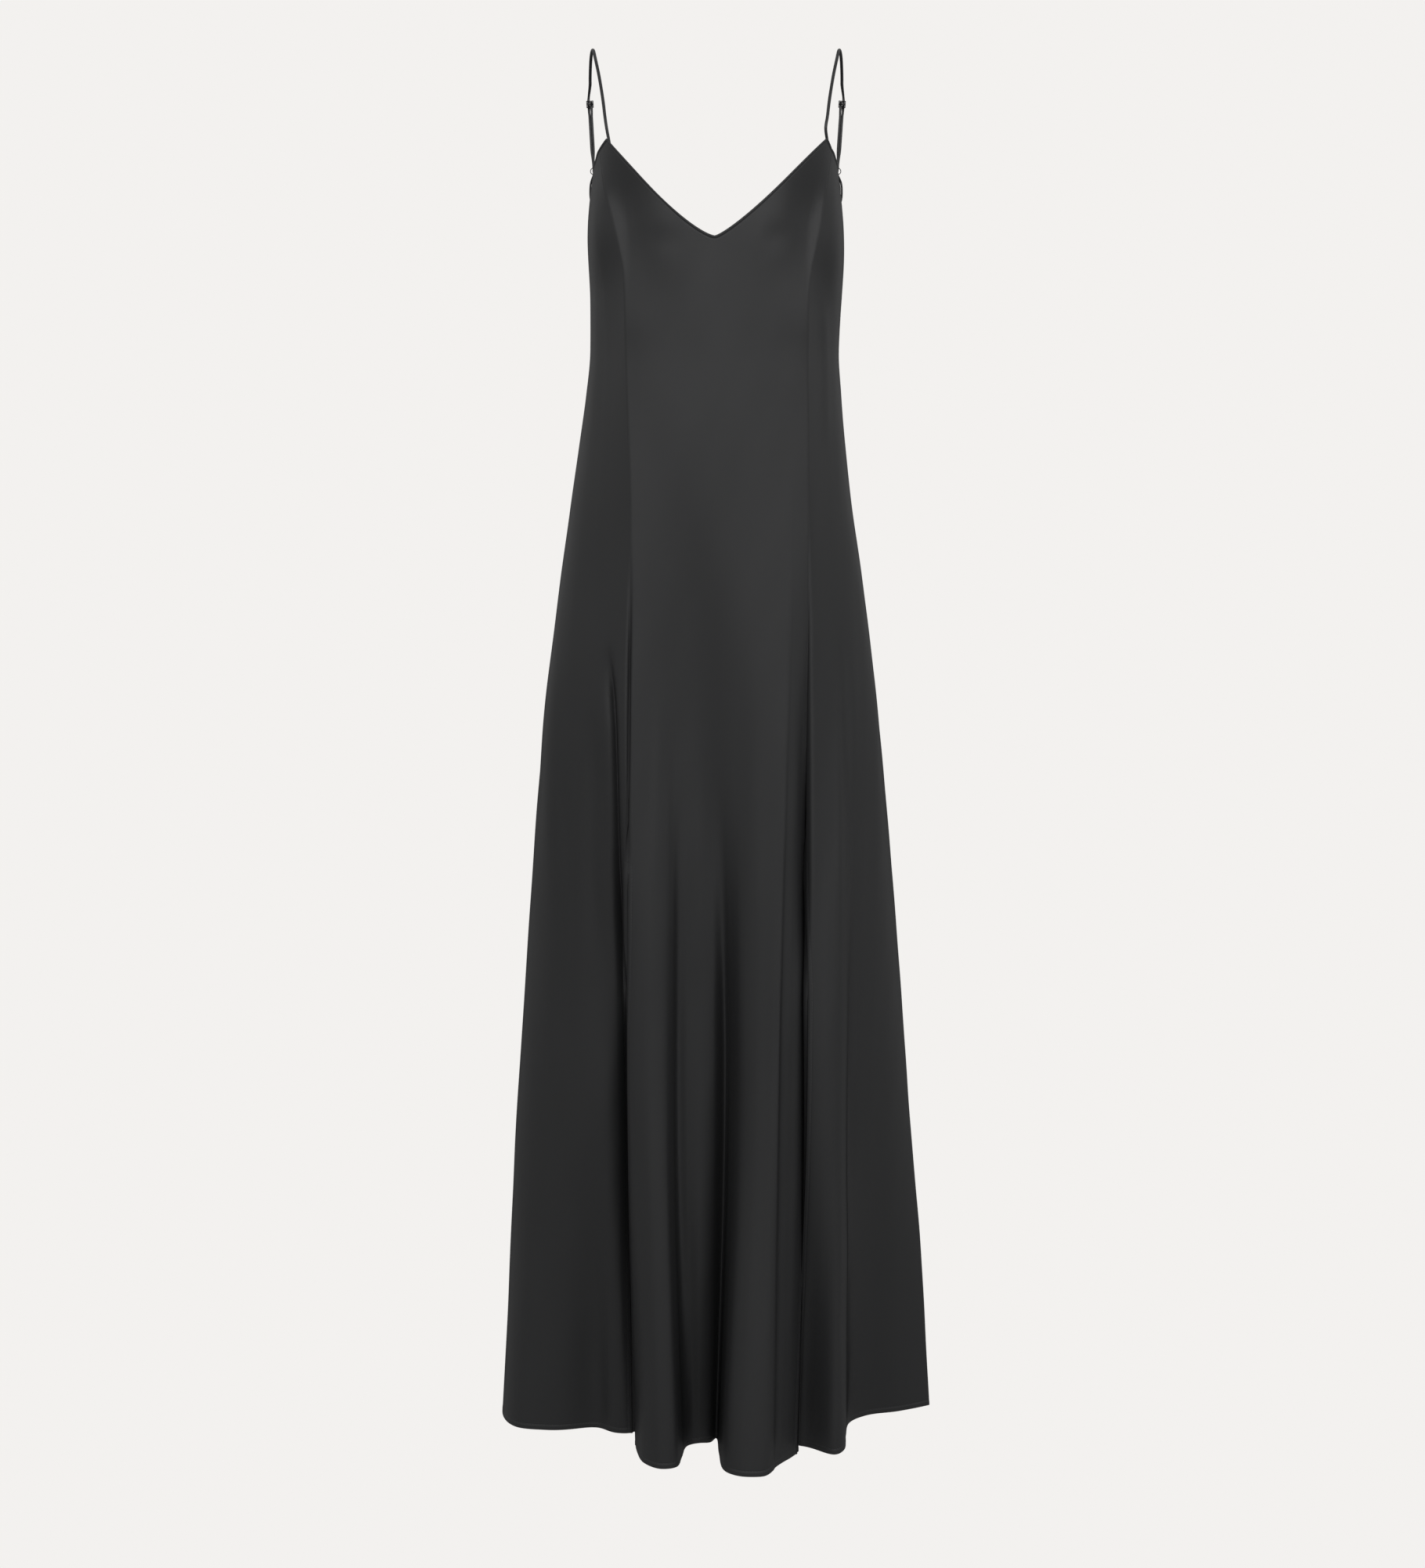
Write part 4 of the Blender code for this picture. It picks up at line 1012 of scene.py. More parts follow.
LEFT_PANEL = Panel(
    node="front_side_panel_left",
    piece="left_front_cloth",
    edges=(Edge.SLIT, Edge.SEAM),
    facing=-1,
    cut=(0.20, 1.36),
    cut_area=0.215,
    steps=14,
    rows=250,
    creases=FRONT_CREASES + (
        # the trough beside the slit, which leaves a lip between them
        Crease(
            ((-0.1094, -0.612), (-0.1077, -0.650), (-0.1048, -0.702), (-0.1036, -0.761),
             (-0.1022, -0.846), (-0.0985, -0.926), (-0.0965, -1.010)),
            0.0110, 0.0042, 0.16, 0.3, power=1.3,
        ),
        # slight folds of the side
        Crease(
            ((-0.1270, -0.660), (-0.1247, -0.760), (-0.1275, -0.843), (-0.1241, -0.967)),
            0.0022, 0.009,
        ),
        Crease(
            ((-0.1490, -0.620), (-0.1513, -0.761), (-0.1570, -0.886), (-0.1628, -1.011), (-0.1617, -1.095)),
            0.0016, 0.010,
        ),
        Crease(((-0.1648, -0.600), (-0.1712, -0.722), (-0.1740, -0.860)), -0.0016, 0.009),
        # the hollow above the hem
        Crease(((-0.1300, -1.080), (-0.1325, -1.280), (-0.1330, -1.475)), 0.0120, 0.020, 0.85, 0.0),
    ),
    folds=Table(
        FRONT_NAMES,
        (
            ("slit edge", 0.000, -0.743, -0.0922, 0.0800, -0.0890, 0.0675, -1.469),
            ("lip", 0.060, -0.680, -0.0945, 0.0828, -0.0912, 0.0685, -1.469),
            ("trough", 0.130, -0.640, -0.0976, 0.0862, -0.0942, 0.0695, -1.469),
            ("rise", 0.230, -0.600, -0.1030, 0.0900, -0.0990, 0.0700, -1.469),
            ("near flat", 0.360, -0.600, -0.1150, 0.0920, -0.1150, 0.0690, -1.469),
            ("flat", 0.540, -0.620, -0.1420, 0.0845, -0.1450, 0.0600, -1.469),
            ("outer", 0.720, -0.650, -0.1730, 0.0625, -0.1830, 0.0600, -1.469),
            ("turn", 0.880, -0.650, -0.1970, 0.0330, -0.2160, 0.0500, -1.469),
            ("side seam", 1.000, -0.650, None, None, None, None, -1.470),
        ),
    ),
)
RIGHT_PANEL = Panel(
    node="front_side_panel_right",
    piece="right_front_cloth",
    edges=(Edge.SLIT, Edge.SEAM),
    facing=1,
    cut=(0.26, 1.36),
    cut_area=0.25,
    steps=12,
    rows=250,
    creases=FRONT_CREASES + (
        # the crease outside the third crest
        Crease(
            ((0.1290, -0.545), (0.1313, -0.601), (0.1366, -0.679), (0.1395, -0.760), (0.1410, -0.843),
             (0.1435, -1.009), (0.1420, -1.150), (0.1405, -1.320), (0.1395, -1.440)),
            0.0045, 0.0070, 0.2, 0.15,
        ),
        # a low ridge beside the waist
        Crease(((0.1120, -0.240), (0.1160, -0.330), (0.1160, -0.420)), -0.0012, 0.0050),
        # the hollow beside the slit, above the hem
        Crease(((0.1040, -1.100), (0.1080, -1.280), (0.1050, -1.475)), 0.0190, 0.0190, 0.85, 0.0),
    ),
    folds=Table(
        FRONT_NAMES,
        (
            ("slit edge", 0.000, -0.743, 0.0962, 0.1240, 0.0886, 0.1070, -1.470),
            ("third crest, left", 0.120, -0.650, 0.1045, 0.1270, 0.0965, 0.1190, -1.470),
            ("third crest", 0.260, -0.600, 0.1165, 0.1280, 0.1110, 0.1300, -1.470),
            ("third crest, right", 0.390, -0.500, 0.1290, 0.1225, 0.1270, 0.1330, -1.470),
            ("third fold", 0.500, -0.480, 0.1385, 0.1100, 0.1375, 0.1180, -1.469),
            ("third wall", 0.590, -0.500, 0.1430, 0.0970, 0.1410, 0.0820, -1.467),
            ("valley", 0.680, -0.550, 0.1530, 0.0840, 0.1465, 0.0470, -1.465),
            ("flat", 0.780, -0.650, 0.1700, 0.0660, 0.1660, 0.0280, -1.464),
            ("outer", 0.890, -0.650, 0.1900, 0.0390, 0.2030, 0.0160, -1.464),
            ("side seam", 1.000, -0.650, None, None, None, None, -1.463),
        ),
    ),
)
BACK_PANEL = Panel(
    node="back_panel",
    piece="back_cloth",
    edges=(Edge.SEAM, Edge.SEAM),
    facing=-1,
    cut=(0.72, 1.36),
    cut_area=0.70,
    steps=14,
    rows=230,
    creases=SIDE_SWELLS + (
        # uneven folds from the waist down, and a slight one across the back
        Crease(((-0.0600, -0.300), (-0.0700, -0.450), (-0.0850, -0.640)), 0.0032, 0.012, 0.4, 0.5),
        Crease(((0.0500, -0.260), (0.0620, -0.420), (0.0660, -0.600)), 0.0038, 0.015, 0.5, 0.4),
        Crease(((-0.0100, -0.340), (-0.0060, -0.520), (0.0020, -0.780)), 0.0060, 0.022, 0.35, 0.5),
        Crease(((0.1060, -0.560), (0.1180, -0.860), (0.1260, -1.120)), -0.0030, 0.011, 0.5, 0.4),
        Crease(((-0.1200, -0.660), (-0.1320, -0.950), (-0.1400, -1.240)), 0.0036, 0.012, 0.4, 0.4),
        Crease(((0.0200, -1.020), (0.0250, -1.300), (0.0230, -1.475)), 0.0060, 0.014, 0.6, 0.0),
        Crease(((-0.0900, -0.230), (-0.0300, -0.262), (0.0400, -0.250)), 0.0016, 0.012, 0.5, 0.5),
    ),
    folds=Table(
        "line part start mid_out hem_out hem_z",
        (
            ("left side seam", 0.000, -0.600, 0.000, 0.000, -1.470),
            ("left side", 0.060, -0.600, 0.003, 0.002, -1.470),
            ("crest 1", 0.140, -0.700, 0.008, 0.012, -1.471),
            ("valley 1", 0.225, -0.600, -0.008, -0.024, -1.470),
            ("crest 2", 0.320, -0.700, 0.007, 0.018, -1.474),
            ("valley 2", 0.405, -0.580, -0.009, -0.030, -1.472),
            ("crest 3", 0.490, -0.750, 0.006, 0.015, -1.475),
            ("valley 3", 0.570, -0.640, -0.007, -0.026, -1.472),
            ("crest 4", 0.665, -0.700, 0.009, 0.022, -1.474),
            ("valley 4", 0.755, -0.600, -0.008, -0.028, -1.470),
            ("crest 5", 0.850, -0.700, 0.007, 0.010, -1.469),
            ("right side", 0.935, -0.600, 0.002, -0.003, -1.465),
            ("right side seam", 1.000, -0.600, 0.000, 0.000, -1.463),
        ),
    ),
)


# ---------------------------------------------------------------- straps


BELOW_ROLL = -14            # the row below the rolled top edge


@dataclass(frozen=True)
class Seat:
    """A place on a panel's top edge, with its directions down, out and away from the neck."""

    point: Array
    down: Array
    normal: Array
    across: Array

    @classmethod
    def on(cls, face: ClothGrid, column: int, side: Side) -> "Seat":
        """The seat at one column of a panel's face.

        Args:
            face: The panel's face.
            column: The column.
            side: The strap's side.

        Returns:
            The seat.
        """
        point = face.points[-1, column]
        down = unit(face.points[BELOW_ROLL, column] - point)
        normal = face.normals[BELOW_ROLL, column]
        normal = unit(normal - down * float(np.dot(normal, down)))
        across = np.cross(normal, down)
        return cls(point, down, normal, across * np.sign(across[0] * side.value))

    def place(self, across: float, drop: float, inward: float) -> Array:
        """World point: away from the neck, down the cloth, and in from its outside."""
        return self.point + self.across * across + self.down * drop - self.normal * inward


@dataclass(frozen=True)
class StrapPlan:
    """Sizes of a strap, from its point over the shoulder to the ring and back to the slider.

    over is its way over the shoulder, and down_pass and up_pass are its ways through the slider.
    single, strands and tab_size are widths and thicknesses. offset, slider_offset and closeness
    are half the distances between the two runs, at the ring, in the slider and between them. The
    run turns from facing back to lying on the cloth over the shares of its length in twist.
    """

    shift: float = 0.0014
    tail_drops: tuple[float, ...] = (0.010, 0.005, 0.0)
    tail_inward: float = 0.0029
    shoulder_line: tuple[float, float] = (0.012, -0.095)
    over: Table = Table(
        "half_span out height",
        (
            (0.1120, 0.0670, -0.0900),
            (0.1139, 0.0635, -0.0770),
            (0.1158, 0.0580, -0.0620),
            (0.1180, 0.0505, -0.0480),
            (0.1213, 0.0380, -0.0300),
            (0.1252, 0.0225, -0.0124),
            (0.1279, 0.0070, -0.0010),
            (0.1300, -0.0080, 0.0016),
            (0.1319, -0.0220, -0.0026),
            (0.1333, -0.0340, -0.0132),
            (0.1340, -0.0420, -0.0270),
        ),
    )
    single: tuple[float, float] = (0.0033, 0.0027)
    strands: dict[str, tuple[float, float]] = field(
        default_factory=lambda: {
            "free": (0.0025, 0.0022),
            "slider": (0.0029, 0.0008),
            "ring": (0.0014, 0.0022),
        }
    )
    offset: float = 0.0017
    slider_offset: float = 0.00146
    closeness: float = 0.00121
    twist: tuple[float, float] = (0.55, 0.96)
    entry_share: float = 0.6
    run_ends: tuple[float, float] = (0.013, 0.004)
    run_places: int = 9
    over_steps: int = 4
    turn_steps: int = 8
    ring_entry: float = 0.0008
    ring_radius: float = 0.0036
    down_pass: Table = Table(
        "up out pressed",
        (
            (0.0085, 0.0008, 0),
            (0.00425, 0.00135, 1),
            (0.00305, 0.00128, 1),
            (0.00172, 0.0, 1),
            (0.0005, -0.00131, 1),
            (-0.0005, -0.00131, 1),
            (-0.00172, 0.0, 1),
            (-0.00305, 0.00128, 1),
            (-0.00425, 0.00135, 1),
            (-0.0085, 0.0005, 0),
        ),
    )
    up_pass: Table = Table(
        "up out pressed",
        (
            (-0.0085, -0.0005, 0),
            (-0.00425, -0.00135, 1),
            (-0.00305, -0.00128, 1),
            (-0.00172, 0.0, 1),
            (-0.0005, 0.00131, 1),
            (0.0005, 0.00131, 1),
            (0.00172, 0.0, 1),
            (0.00222, -0.0010, 1),
        ),
    )
    tab_low: Table = Table(
        "half_span depth height",
        (
            (0.1306, 0.0357, -0.1540),
            (0.1326, 0.0357, -0.1475),
            (0.1331, 0.0357, -0.1390),
            (0.1322, 0.0357, -0.1300),
        ),
    )
    tab_size: tuple[float, float] = (0.0021, 0.0014)
    tab_closeness: float = 0.65
    tab_clear: float = 0.0004
    smoothing: int = 3
    sides: int = 16


@dataclass
class Strap:
    """One strap and its ring tab, threaded through the slider and the ring where they lie."""

    side: Side
    plan: StrapPlan
    front: Seat
    back: Seat

    def __post_init__(self) -> None:
        """Find the run's ends and directions from the hardware's places."""
        self.slider = box_middle(f"slider_{self.side.word}")
        self.ring = box_middle(f"ring_{self.side.word}")
        self.length = float(np.linalg.norm(self.slider - self.ring))
        self.up = (self.slider - self.ring) / self.length
        self.out_top = self.square(np.array((0.0, 1.0, 0.0)))
        self.out_low = self.square(self.back.normal)

    def square(self, direction: Array) -> Array:
        """The part of a direction that is square to the run."""
        return unit(direction - self.up * float(np.dot(direction, self.up)))

    def outward(self, up: float) -> Array:
        """The run's out direction at a height along it.

        Args:
            up: The height over the slider's middle.

        Returns:
            A direction square to the run.
        """
        start, end = self.plan.twist
        blend = float(ease(np.array((-up / self.length - start) / (end - start))))
        return self.square(self.out_top * (1.0 - blend) + self.out_low * blend)

    def place(self, across: float, up: float, out: float) -> Array:
        """World point of a place on the run.

        Args:
            across: How far it is away from the neck.
            up: How far it is up the run from the slider's middle.
            out: How far it is out from the body.

        Returns:
            The point.
        """
        facing = self.outward(up)
        sideways = np.cross(self.up, facing)
        sideways = sideways * np.sign(sideways[0] * self.side.value)
        return self.slider + self.up * up + sideways * across + facing * out

    def half_turn(self, up: float, upward: bool) -> list[tuple[float, float, float]]:
        """Places round a half turn at the ring.

        Args:
            up: The height of the turn's ends.
            upward: Whether it turns over the top or under.

        Returns:
            The across, up and out of each place.
        """
        sign = 1.0 if upward else -1.0
        radius = self.plan.offset
        angles = np.linspace(0.0, math.pi, self.plan.turn_steps + 1)[1:-1]
        return [(radius * math.cos(a), up + sign * radius * math.sin(a), 0.0) for a in angles]

    def strands(self) -> list[tuple[float, float, float, str]]:
        """Places of the doubled run in order: down to the ring, round it, and back up.

        Returns:
            The across, up and out of each place, and the name of its size.
        """
        plan, step, near = self.plan, self.plan.offset, self.plan.closeness
        words = ("free", "slider")
        turn_up = -self.length + plan.ring_radius
        straight = np.linspace(-plan.run_ends[0], turn_up + plan.run_ends[1], plan.run_places)
        pressed_step = plan.slider_offset
        down = list(zip(*(plan.down_pass.column(n) for n in ("up", "out", "pressed"))))
        back = list(zip(*(plan.up_pass.column(n) for n in ("up", "out", "pressed"))))
        places = [(pressed_step, up, out, words[int(pressed)]) for up, out, pressed in down]
        places[0] = (pressed_step * plan.entry_share, *places[0][1:])
        places += [(near, up, 0.0, "free") for up in straight]
        places.append((step, turn_up + plan.ring_entry, 0.0, "ring"))
        places += [(*place, "ring") for place in self.half_turn(turn_up, False)]
        places.append((-step, turn_up + plan.ring_entry, 0.0, "ring"))
        places += [(-near, up, 0.0, "free") for up in straight[::-1]]
        places += [(-pressed_step, up, out, words[int(pressed)]) for up, out, pressed in back]
        return places

    def path(self) -> tuple[Array, Array, Array]:
        """The strap from its tail to its end.

        Returns:
            Its points, facing directions and half sizes.
        """
        plan = self.plan
        tail = [self.front.place(0.0, drop, plan.tail_inward) for drop in plan.tail_drops]
        x = plan.shift + self.side.value * plan.over.column("half_span")
        over = np.stack((x, -plan.over.column("out"), plan.over.column("height")), axis=1)
        knots = np.concatenate((tail, over))
        steps = plan.over_steps
        first = round_curve(knots, np.arange(0, (len(knots) - 1) * steps + 1) / steps)
        facing = first - np.array((0.0, plan.shoulder_line[0], plan.shoulder_line[1]))
        facing[:, 0] = 0.0
        share = np.minimum(1.0, 2.0 * np.arange(len(first)) / len(first))[:, None]
        facing = self.front.normal * (1.0 - share) + unit(facing) * share
        sizes = np.tile(np.array(plan.single) * 0.5, (len(first), 1))
        places = self.strands()
        run = np.array([self.place(*place[:3]) for place in places])
        run_facing = np.array([self.outward(place[1]) for place in places])
        run_sizes = np.array([plan.strands[place[3]] for place in places]) * 0.5
        return (
            np.concatenate((first, run)),
            np.concatenate((facing, run_facing)),
            np.concatenate((sizes, run_sizes)),
        )

    def tab_path(self) -> tuple[Array, Array, Array]:
        """The ring tab from leg to leg, round the ring.

        Returns:
            Its points, facing directions and half sizes.
        """
        plan = self.plan
        turn_up = -self.length - plan.ring_radius
        low = plan.tab_low
        x = plan.shift + self.side.value * low.column("half_span")
        middle = np.stack((x, low.column("depth"), low.column("height")), axis=1)
        legs = []
        for across in (plan.offset, -plan.offset):
            aside = self.place(across, 0.0, 0.0) - self.place(0.0, 0.0, 0.0)
            leg = middle + aside * plan.tab_closeness
            legs.append([*leg, self.place(across, turn_up - plan.tab_clear, 0.0)])
        turn = [self.place(*place) for place in self.half_turn(turn_up, True)]
        points = np.array(legs[0] + turn + legs[1][::-1])
        facing = np.tile(self.out_top, (len(points), 1))
        return points, facing, np.tile(np.array(plan.tab_size) * 0.5, (len(points), 1))

    def make(self, satin: bpy.types.Material) -> list[bpy.types.Object]:
        """Make the strap and its ring tab, and set them in the places of their solids.

        Args:
            satin: Their material.

        Returns:
            The two pieces.
        """
        made = []
        for name, node, path in (
            (f"{self.side.word}_strap_tube", f"strap_{self.side.word}", self.path()),
            (f"{self.side.word}_ring_loop", f"ring_tab_{self.side.word}", self.tab_path()),
        ):
            piece = tube(name, *path, self.plan.sides, self.plan.smoothing)
            piece.data.materials.append(satin)
            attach(piece, "root")
            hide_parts(node)
            made.append(piece)
        return made


def box_middle(node: str) -> Array:
    """The middle of a solid's box."""
    low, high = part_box(node)
    return (np.array(low) + np.array(high)) * 0.5


TUBE_SIDE_WIDTH = 0.0006


def tube(
    name: str, points: Array, facing: Array, halves: Array, sides: int, smoothing: int
) -> bpy.types.Object:
    """A closed soft tube of oval section.

    Args:
        name: The piece's name.
        points: Its path.
        facing: The direction its flat side faces at each point.
        halves: Half its width and half its thickness at each point.
        sides: Points round its section.
        smoothing: Steps between two points of the path.

    Returns:
        The piece, with a UV map in metres.
    """
    at = np.arange(0, (len(points) - 1) * smoothing + 1) / smoothing
    path = round_curve(points, at)
    count = np.arange(len(points))
    spread = [np.stack([np.interp(at, count, v[:, i]) for i in range(v.shape[1])], axis=1)
              for v in (facing, halves)]
    tangents = unit(np.gradient(path, axis=0))
    out = unit(spread[0] - tangents * np.sum(spread[0] * tangents, axis=1)[:, None])
    sideways = np.cross(out, tangents)
    angles = 2.0 * math.pi * (np.arange(sides) + 0.5) / sides
    ring = sideways[:, None, :] * (spread[1][:, :1] * np.cos(angles))[:, :, None]
    ring += out[:, None, :] * (spread[1][:, 1:] * np.sin(angles))[:, :, None]
    grid = path[:, None, :] + ring
    rows = len(path)
    faces = [
        (r * sides + k, r * sides + after, (r + 1) * sides + after, (r + 1) * sides + k)
        for r in range(rows - 1)
        for k, after in ((k, (k + 1) % sides) for k in range(sides))
    ]
    faces.append(tuple(range(sides - 1, -1, -1)))
    faces.append(tuple(range((rows - 1) * sides, rows * sides)))
    piece = mesh_object(name, grid.reshape(-1, 3), faces)
    along = np.concatenate(([0.0], np.cumsum(np.linalg.norm(np.diff(path, axis=0), axis=1))))
    around = np.tile(np.arange(sides) * TUBE_SIDE_WIDTH, rows)
    add_coordinates(piece, np.stack((around, np.repeat(along, sides)), axis=1))
    return piece


# ---------------------------------------------------------------- finishes


class Tree:
    """Adds nodes to a tree and links them."""

    def __init__(self, tree: bpy.types.NodeTree) -> None:
        """Hold the tree."""
        self.tree = tree

    def add(self, kind: str, **settings: object) -> bpy.types.Node:
        """Add a node.

        Args:
            kind: Its type.
            settings: Its properties.

        Returns:
            The node.
        """
        node = self.tree.nodes.new(kind)
        for name, value in settings.items():
            setattr(node, name, value)
        return node

    def join(self, value: object, socket: Socket) -> None:
        """Link a socket to another, or set its value.

        Args:
            value: The other socket or the value, or None to leave it.
            socket: The input.
        """
        if isinstance(value, Socket):
            self.tree.links.new(value, socket)
        elif value is not None:
            socket.default_value = value

    def math(self, operation: str, *values: object) -> Socket:
        """Add a Math node.

        Args:
            operation: What it does.
            values: Its inputs.

        Returns:
            Its result.
        """
        node = self.add("ShaderNodeMath", operation=operation)
        for value, socket in zip(values, node.inputs):
            self.join(value, socket)
        return node.outputs[0]

    def ranged(self, value: object, low: float, high: float, to_low: float, to_high: float) -> Socket:
        """Bring a value smoothly from one range to another.

        Args:
            value: The value.
            low: The first range's start.
            high: Its end.
            to_low: The second range's start.
            to_high: Its end.

        Returns:
            The result.
        """
        node = self.add("ShaderNodeMapRange", interpolation_type="SMOOTHSTEP")
        for given, socket in zip((value, low, high, to_low, to_high), node.inputs):
            self.join(given, socket)
        return node.outputs[0]

    def noise(self, vector: object, scale: object, detail: float, roughness: float = 0.5) -> Socket:
        """Add a Noise Texture.

        Args:
            vector: Where it is read.
            scale: Its scale.
            detail: Its octaves.
            roughness: How strong the finer ones are.

        Returns:
            Its value.
        """
        node = self.add("ShaderNodeTexNoise")
        self.join(vector, node.inputs["Vector"])
        self.join(scale, node.inputs["Scale"])
        node.inputs["Detail"].default_value = detail
        node.inputs["Roughness"].default_value = roughness
        return node.outputs[0]

    def mix(self, factor: object, first: object, second: object) -> Socket:
        """Mix two colours.

        Args:
            factor: The second one's share.
            first: The first colour.
            second: The second colour.

        Returns:
            The mix.
        """
        node = self.add("ShaderNodeMix", data_type="RGBA")
        self.join(factor, node.inputs[0])
        self.join(first, node.inputs[6])
        self.join(second, node.inputs[7])
        return node.outputs[2]

    def attribute(self, name: str) -> Socket:
        """A mesh attribute's number."""
        return self.add("ShaderNodeAttribute", attribute_name=name).outputs["Fac"]


def new_group(name: str, inputs: Iterable[tuple[str, float]], outputs: Iterable[str]) -> Tree:
    """A shader node group with named float sockets.

    Args:
        name: The group's name.
        inputs: Each input's name and value.
        outputs: The outputs' names.

    Returns:
        Its tree.
    """
    tree = bpy.data.node_groups.new(name, "ShaderNodeTree")
    for socket_name, value in inputs:
        socket = tree.interface.new_socket(socket_name, in_out="INPUT", socket_type="NodeSocketFloat")
        socket.default_value = value
    for socket_name in outputs:
        tree.interface.new_socket(socket_name, in_out="OUTPUT", socket_type="NodeSocketFloat")
    return Tree(tree)


WEAVE_BIND = (0.18, 0.35)      # share of a float that is bound down, and the height there
STREAKS = (620.0, 9.0)         # noise steps a metre across and along
CLOUDS = (16.0, 6.0)


def weave_group() -> bpy.types.NodeTree:
    """Satin weave: long floats down the cloth, and soft streaks and clouds of tone.

    Returns:
        The group.
    """
    made = new_group(
        "satin_weave",
        (("Across", 0.0), ("Along", 0.0), ("Pitch", 0.0004), ("Float", 5.0)),
        ("Height", "Streak", "Cloud"),
    )
    given = made.add("NodeGroupInput").outputs
    thread = made.math("DIVIDE", given["Across"], given["Pitch"])
    pick = made.math("DIVIDE", given["Along"], given["Pitch"])
    ridge = made.math("PINGPONG", thread, 0.5)
    shift = made.math("MULTIPLY", made.math("FLOOR", thread), 2.0)
    bind = made.math("FRACT", made.math("DIVIDE", made.math("ADD", pick, shift), given["Float"]))
    dip = made.ranged(bind, 0.0, *WEAVE_BIND, 1.0)
    result = made.add("NodeGroupOutput").inputs
    made.join(made.math("MULTIPLY", made.math("MULTIPLY", ridge, 2.0), dip), result["Height"])
    for name, (across, along), detail in (("Streak", STREAKS, 3.0), ("Cloud", CLOUDS, 2.0)):
        place = made.add("ShaderNodeCombineXYZ")
        made.join(made.math("MULTIPLY", given["Across"], across), place.inputs[0])
        made.join(made.math("MULTIPLY", given["Along"], along), place.inputs[1])
        made.join(made.noise(place.outputs[0], 1.0, detail), result[name])
    return made.tree


STITCH_END = (0.30, 0.42)      # half a stitch's length, as a share of the pitch
THREAD_EDGE = (0.7, 1.3)       # in half widths of the thread
CHANNEL_EDGE = (0.5, 3.5)
THREAD_RISE = 0.9


def stitch_group() -> bpy.types.NodeTree:
    """A row of stitches at a distance from an edge, sunk a little into the cloth.

    Returns:
        The group.
    """
    made = new_group(
        "stitch_row",
        (("Distance", 1.0), ("Along", 0.0), ("Place", 0.005), ("Pitch", 0.003), ("Thread", 0.0004)),
        ("Mask", "Height"),
    )
    given = made.add("NodeGroupInput").outputs
    aside = made.math("ABSOLUTE", made.math("SUBTRACT", given["Distance"], given["Place"]))
    beside = made.math("DIVIDE", aside, given["Thread"])
    step = made.math("FRACT", made.math("DIVIDE", given["Along"], given["Pitch"]))
    middle = made.math("ABSOLUTE", made.math("SUBTRACT", step, 0.5))
    stitch = made.ranged(middle, *STITCH_END, 1.0, 0.0)
    mask = made.math("MULTIPLY", made.ranged(beside, *THREAD_EDGE, 1.0, 0.0), stitch)
    channel = made.ranged(beside, *CHANNEL_EDGE, -1.0, 0.0)
    result = made.add("NodeGroupOutput").inputs
    made.join(mask, result["Mask"])
    made.join(made.math("ADD", channel, made.math("MULTIPLY", mask, THREAD_RISE)), result["Height"])
    return made.tree


SCUFFED = (0.52, 0.70)         # the noise's values where the coating is worn


def wear_group() -> bpy.types.NodeTree:
    """Fine scuffs on coated metal, read from the place on the piece.

    Returns:
        The group.
    """
    tree = bpy.data.node_groups.new("coating_wear", "ShaderNodeTree")
    tree.interface.new_socket("Place", in_out="INPUT", socket_type="NodeSocketVector")
    for name, value in (("Scale", 900.0), ("Amount", 0.5)):
        socket = tree.interface.new_socket(name, in_out="INPUT", socket_type="NodeSocketFloat")
        socket.default_value = value
    tree.interface.new_socket("Mask", in_out="OUTPUT", socket_type="NodeSocketFloat")
    made = Tree(tree)
    given = made.add("NodeGroupInput").outputs
    grain = made.noise(given["Place"], given["Scale"], 4.0, 0.6)
    mask = made.math("MULTIPLY", made.ranged(grain, *SCUFFED, 0.0, 1.0), given["Amount"])
    made.join(mask, made.add("NodeGroupOutput").inputs["Mask"])
    return tree


